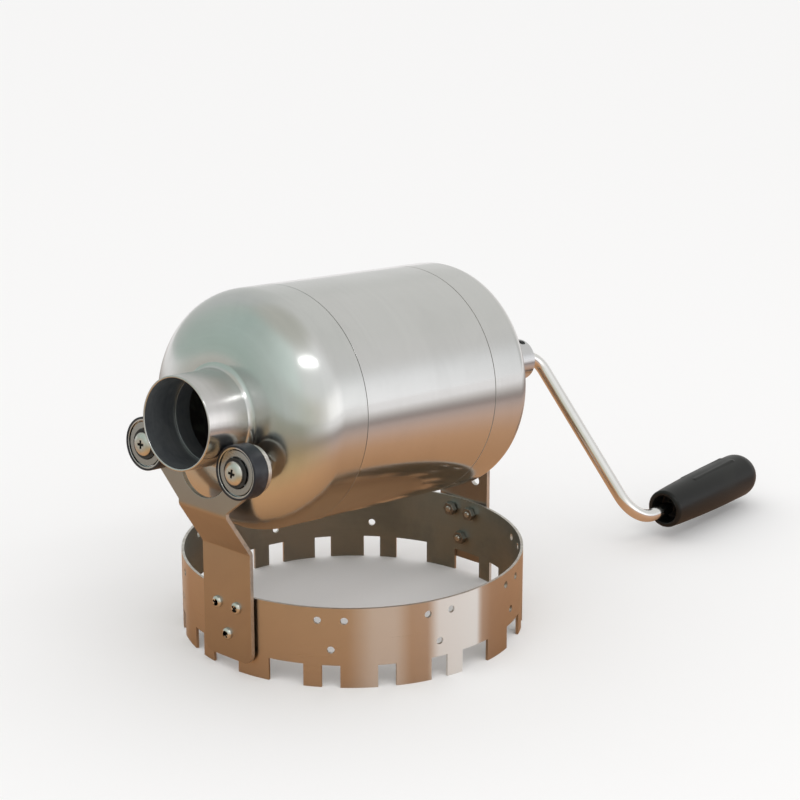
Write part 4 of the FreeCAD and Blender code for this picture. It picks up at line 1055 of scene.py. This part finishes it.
# %% Dress the insides and edges
SEAM_FLOOR = mm(49.75)
COLLAR = mm(18.6)
second_finish(front_shell, FINISH["inner_steel"], lambda centre, normal: (
    normal.dot(ALONG) > 0.05 or faces_in(centre, normal)) and way_out(centre)[1] > COLLAR)
second_finish(front_shell, STAINED_NECK, lambda centre, normal: (
    way_out(centre)[1] < COLLAR and normal.dot(ALONG) > -0.9))
second_finish(rear_shell, FINISH["inner_steel"], lambda centre, normal: (
    normal.dot(ALONG) < -0.05 or faces_in(centre, normal)))
# painted shade: the seam floors, below SEAM_FLOOR, get the dark inside finish
second_finish(tube_shell, FINISH["inner_steel"], lambda centre, normal: (
    faces_in(centre, normal) or way_out(centre)[1] < SEAM_FLOOR))
second_finish(neck_shell, STAINED_NECK, lambda centre, normal: faces_in(centre, normal, -0.8))
second_finish(neck_shell, FINISH["front_cap_steel"], lambda centre, normal: (
    (centre - AXIS_MIDDLE).dot(ALONG) > mm(-82.8) and way_out(centre)[1] > mm(19.45)))
second_finish(ring, SMOKED_RING, lambda centre, normal: (
    normal.x * centre.x + normal.y * centre.y < -0.5 * mm(RING_RADIUS)))
# painted highlight, partly real sheared metal: the ring's top edge and the plates' side edges
second_finish(ring, SHEARED_EDGE_AND_HIGHLIGHT, lambda centre, normal: normal.z > 0.5)
for plate in plates:
    second_finish(plate, SHEARED_EDGE_AND_HIGHLIGHT, lambda centre, normal: abs(normal.x) < 0.45)
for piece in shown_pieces():
    if piece.name.endswith("_nuts_dressed"):
        piece.data.materials[0] = DULL_NUTS

# %% [markdown]
# ## Dark recesses
# The cross in a screw's head reads as a dark mark, and that dark is painted shade: its
# faces get a near-black material. Its faces lie close to the screw's axis, and below the
# head's crown.

# %% Darken the cross recesses
# painted shade: a near-black material for the faces in each screw's cross recess
RECESS_SHADE = black("painted_recess_shade", (0.022, 0.019, 0.015), (0.07, 0.062, 0.05), 500)
AXLE_CROSS = {"deepest": mm(1.9), "reach": mm(1.86)}
PLATE_CROSS = {"deepest": mm(1.4), "reach": mm(1.54)}
AXLE_CROWN = 2.56
PLATE_CROWN = 78.53


def in_recess(centre, crown, way, deepest, reach):
    depth = (centre - crown).dot(way)
    return mm(0.1) < depth < deepest and (centre - crown - way * depth).length < reach


for side, across in (("left", 0), ("right", 2 * ROLLER_SIDE)):
    crown = LEFT_AXLE + RIGHT * mm(across) - ALONG * mm(AXLE_CROWN)
    second_finish(bpy.data.objects[side + "_axle_screw_dressed"], RECESS_SHADE,
                  lambda centre, normal: in_recess(centre, crown, ALONG, **AXLE_CROSS))
for end, inwards in (("front", 1), ("rear", -1)):
    way = Vector((inwards, 0, 0))
    crowns = [mm(-PLATE_CROWN * inwards, across, level) for across, level in HOLE_GROUP]
    second_finish(bpy.data.objects[end + "_bracket_screws_dressed"], RECESS_SHADE,
                  lambda centre, normal: any(
                      in_recess(centre, crown, way, **PLATE_CROSS) for crown in crowns))

# %% [markdown]
# ## Numbers into colours
# Four small helpers serve the ring and the surroundings alike. One turns a number into a
# colour along a ramp. One gives a vector's three parts, one says in which compass direction
# they point, and the last lets mirrored rays find another colour than the camera sees.

# %% Ramps and directions
def ramp(tree, factor, stops):
    node = tree.nodes.new("ShaderNodeValToRGB")
    wire(tree, factor, node.inputs["Fac"])
    band = node.color_ramp
    while len(band.elements) < len(stops):
        band.elements.new(0.5)
    for element, (position, colour) in zip(band.elements, stops):
        element.position = position
        element.color = (*colour, 1) if isinstance(colour, tuple) else (colour,) * 3 + (1,)
    return node.outputs["Color"]


def coordinates(tree, kind):
    """Texture coordinates, whole and as three parts."""
    place = tree.nodes.new("ShaderNodeTexCoord").outputs[kind]
    split = tree.nodes.new("ShaderNodeSeparateXYZ")
    wire(tree, place, split.inputs[0])
    return place, split.outputs


def compass_of(tree, east, north):
    """The compass angle as a number from 0 to 1: 0 and 1 lie along -X, 0.25 along -Y."""
    angle = calculate(tree, "ARCTAN2", north, east)
    return plus(tree, calculate(tree, "DIVIDE", angle, math.tau), 0.5)


def seen_or_mirrored(tree, seen, mirrored, target):
    path = tree.nodes.new("ShaderNodeLightPath")
    wire(tree, blend_colours(tree, path.outputs["Is Glossy Ray"], seen, mirrored), target)


print("ramps are ready")

# %% [markdown]
# ## Painted reflection bands on the ring
# Round the ring, upright bands are painted paler, duller and more neutral than the
# straw-tinted steel between them: they are a painted reflection of the bright room. A ramp
# over the compass angle says how much painted reflection each place gets, and that one
# number blends the colour, and lowers the metal's mirror in favour of a matt surface.

# %% Painted reflection bands
tree = FINISH["ring_steel"].node_tree
shader = tree.nodes["Principled BSDF"]
_, (east, north, _) = coordinates(tree, "Object")
# painted reflection: paler, less metallic upright bands at fixed compass angles round the ring
painted_reflection = ramp(tree, compass_of(tree, east, north), (
    (0, 0), (0.115, 0), (0.138, 0.4), (0.158, 0.4), (0.172, 0.05), (0.188, 0.08),
    (0.198, 0.85), (0.243, 1), (0.248, 0.2), (0.262, 0), (0.42, 0), (0.45, 0.6),
    (0.49, 0.6), (0.51, 0), (0.68, 0), (0.71, 0.5), (0.73, 0.5), (0.77, 0), (0.88, 0),
    (0.9, 0.4), (0.925, 0), (1, 0)))
tint = shader.inputs["Base Color"].links[0].from_socket
# blend the painted reflection into the colour and take it out of the metal's mirror
wire(tree, blend_colours(tree, painted_reflection, tint, (0.74, 0.73, 0.71)), shader.inputs["Base Color"])
wire(tree, calculate(tree, "SUBTRACT", 1.0, times(tree, painted_reflection, 0.8)), shader.inputs["Metallic"])
print("the ring has its bands")

# %% [markdown]
# ## Where it stands
# The floor and the surroundings aren't part of the object, but polished steel shows little
# else. The camera sees a plain pale floor. What the steel mirrors is a wooden table: warm
# close by, darker towards the front, and paler where it ends on the right. So the floor's
# colour follows Light Path: one tone for mirrored rays, another for all the rest. The
# distance from the ring and the compass angle say where on the table a ray has landed.

# %% The floor
select_only()
bpy.ops.mesh.primitive_circle_add(vertices=96, radius=4, fill_type="NGON")
floor = bpy.context.object
floor.name = "studio_floor"
table_top, tree, shader = new_material("pale_floor")
shader.inputs["Roughness"].default_value = 1.0
shader.inputs["Specular IOR Level"].default_value = 0.0
place, (east, north, _) = coordinates(tree, "Object")
distance = math_node(tree, "VectorMath", "LENGTH", (place,))["Value"]
right_wood = ramp(tree, distance, (
    (0.00, (0.44, 0.26, 0.14)), (0.12, (0.54, 0.30, 0.16)), (0.18, (0.58, 0.34, 0.20)),
    (0.27, (0.60, 0.42, 0.33)), (0.36, (0.50, 0.40, 0.36)), (0.43, (0.33, 0.27, 0.25)),
    (0.50, (0.38, 0.34, 0.32)), (0.64, (0.62, 0.58, 0.56)), (1.00, (0.98, 0.96, 0.96))))
front_wood = ramp(tree, distance, (
    (0.00, (0.46, 0.26, 0.14)), (0.16, (0.64, 0.36, 0.18)), (0.27, (0.54, 0.38, 0.20)),
    (0.41, (0.36, 0.28, 0.17)), (0.60, (0.36, 0.31, 0.24)), (1.00, (0.36, 0.36, 0.29))))
to_front = ramp(tree, compass_of(tree, east, north), (
    (0.00, 1.0), (0.07, 1.0), (0.13, 0.75), (0.185, 0.5), (0.25, 0.0), (0.80, 0.0),
    (0.86, 0.6), (0.92, 0.6), (0.965, 1.0), (1.00, 1.0)))
wood = blend_colours(tree, to_front, right_wood, front_wood)
seen_or_mirrored(tree, (0.92, 0.915, 0.91), wood, shader.inputs["Base Color"])
floor.data.materials.append(table_top)
print("the floor is laid, with", len(tree.nodes), "nodes")

# %% [markdown]
# ## The room's light
# The world lights the object from all round. Seen by the camera, and by dull surfaces, it
# is plain white. What the steel mirrors is a pale room, and a room isn't the same all
# round: it is bright on the right, where a white wall stands, and greener and darker
# behind the mouth. So one ramp runs round the compass near the horizon and a second one
# higher up, and a Mix blends them by height.

# %% The world
world = bpy.data.worlds.new("pale_room")
bpy.context.scene.world = world
world.use_nodes = True
tree = world.node_tree
_, (east, north, height) = coordinates(tree, "Generated")
compass = compass_of(tree, east, north)
low_room = ramp(tree, compass, (
    (0.00, (0.57, 0.61, 0.58)), (0.11, (0.64, 0.65, 0.57)), (0.17, (0.70, 0.68, 0.61)),
    (0.23, (0.92, 0.90, 0.86)), (0.27, (1.34, 1.32, 1.30)), (0.36, (1.40, 1.38, 1.39)),
    (0.39, (0.98, 0.99, 1.00)), (0.44, (0.60, 0.61, 0.60)), (0.50, (0.82, 0.81, 0.79)),
    (0.57, (0.80, 0.79, 0.77)), (0.64, (0.68, 0.69, 0.68)), (0.72, (0.56, 0.58, 0.56)),
    (0.80, (0.46, 0.54, 0.50)), (0.90, (0.44, 0.54, 0.49)), (1.00, (0.57, 0.61, 0.58))))
high_room = ramp(tree, compass, (
    (0.00, (0.66, 0.75, 0.71)), (0.06, (0.77, 0.86, 0.82)), (0.11, (0.80, 0.82, 0.80)),
    (0.22, (0.86, 0.87, 0.86)), (0.33, (0.92, 0.92, 0.92)), (0.39, (0.76, 0.75, 0.74)),
    (0.45, (0.72, 0.72, 0.70)), (0.57, (0.72, 0.72, 0.70)), (0.62, (0.65, 0.66, 0.64)),
    (0.72, (0.58, 0.60, 0.59)), (0.80, (0.50, 0.57, 0.53)), (0.88, (0.46, 0.56, 0.52)),
    (0.95, (0.53, 0.61, 0.57)), (1.00, (0.66, 0.75, 0.71))))
walls = blend_colours(tree, share(tree, height, 0.16, 0.42), low_room, high_room)
room = blend_colours(tree, share(tree, height, 0.78, 0.98), walls, (0.57, 0.57, 0.52))
seen_or_mirrored(tree, (1.0, 1.0, 1.0), room, tree.nodes["Background"].inputs["Color"])
print("the room is lit")

# %% [markdown]
# ## The window
# One soft area light stands for a long low window, high on the right. It draws the one
# clear highlight on the front cap. An ellipse has no corners, so the highlight has none
# either.

# %% The window light
def hang(name, data, place, way):
    """A lamp or camera at a place. Both look along their own -Z, so way points backwards."""
    item = bpy.data.objects.new(name, data)
    bpy.context.collection.objects.link(item)
    item.matrix_world = facing(place, way)
    return item


window = bpy.data.lights.new("window", "AREA")
window.shape = "ELLIPSE"
window.size = 0.85
window.size_y = 0.11
window.energy = 1.3
window_way = Vector((-0.22, -0.60, 0.77)).normalized()
hang("window", window, window_way * 1.2 + mm(-60, 0, 106), window_way)
print("the window is hung")

# %% [markdown]
# ## The camera
# The camera stands a little over a metre off with a long lens, somewhat above the object
# and to the right of the mouth.

# %% Camera
lens = bpy.data.cameras.new("camera")
lens.lens = 111.8
lens.sensor_width = 36
bpy.context.scene.camera = hang("camera", lens, Vector((-0.7443, -0.6967, 0.4345)),
                                Vector((-0.7071, -0.6352, 0.3106)).normalized())
bpy.context.scene.view_settings.view_transform = "Standard"
print("the camera is set")
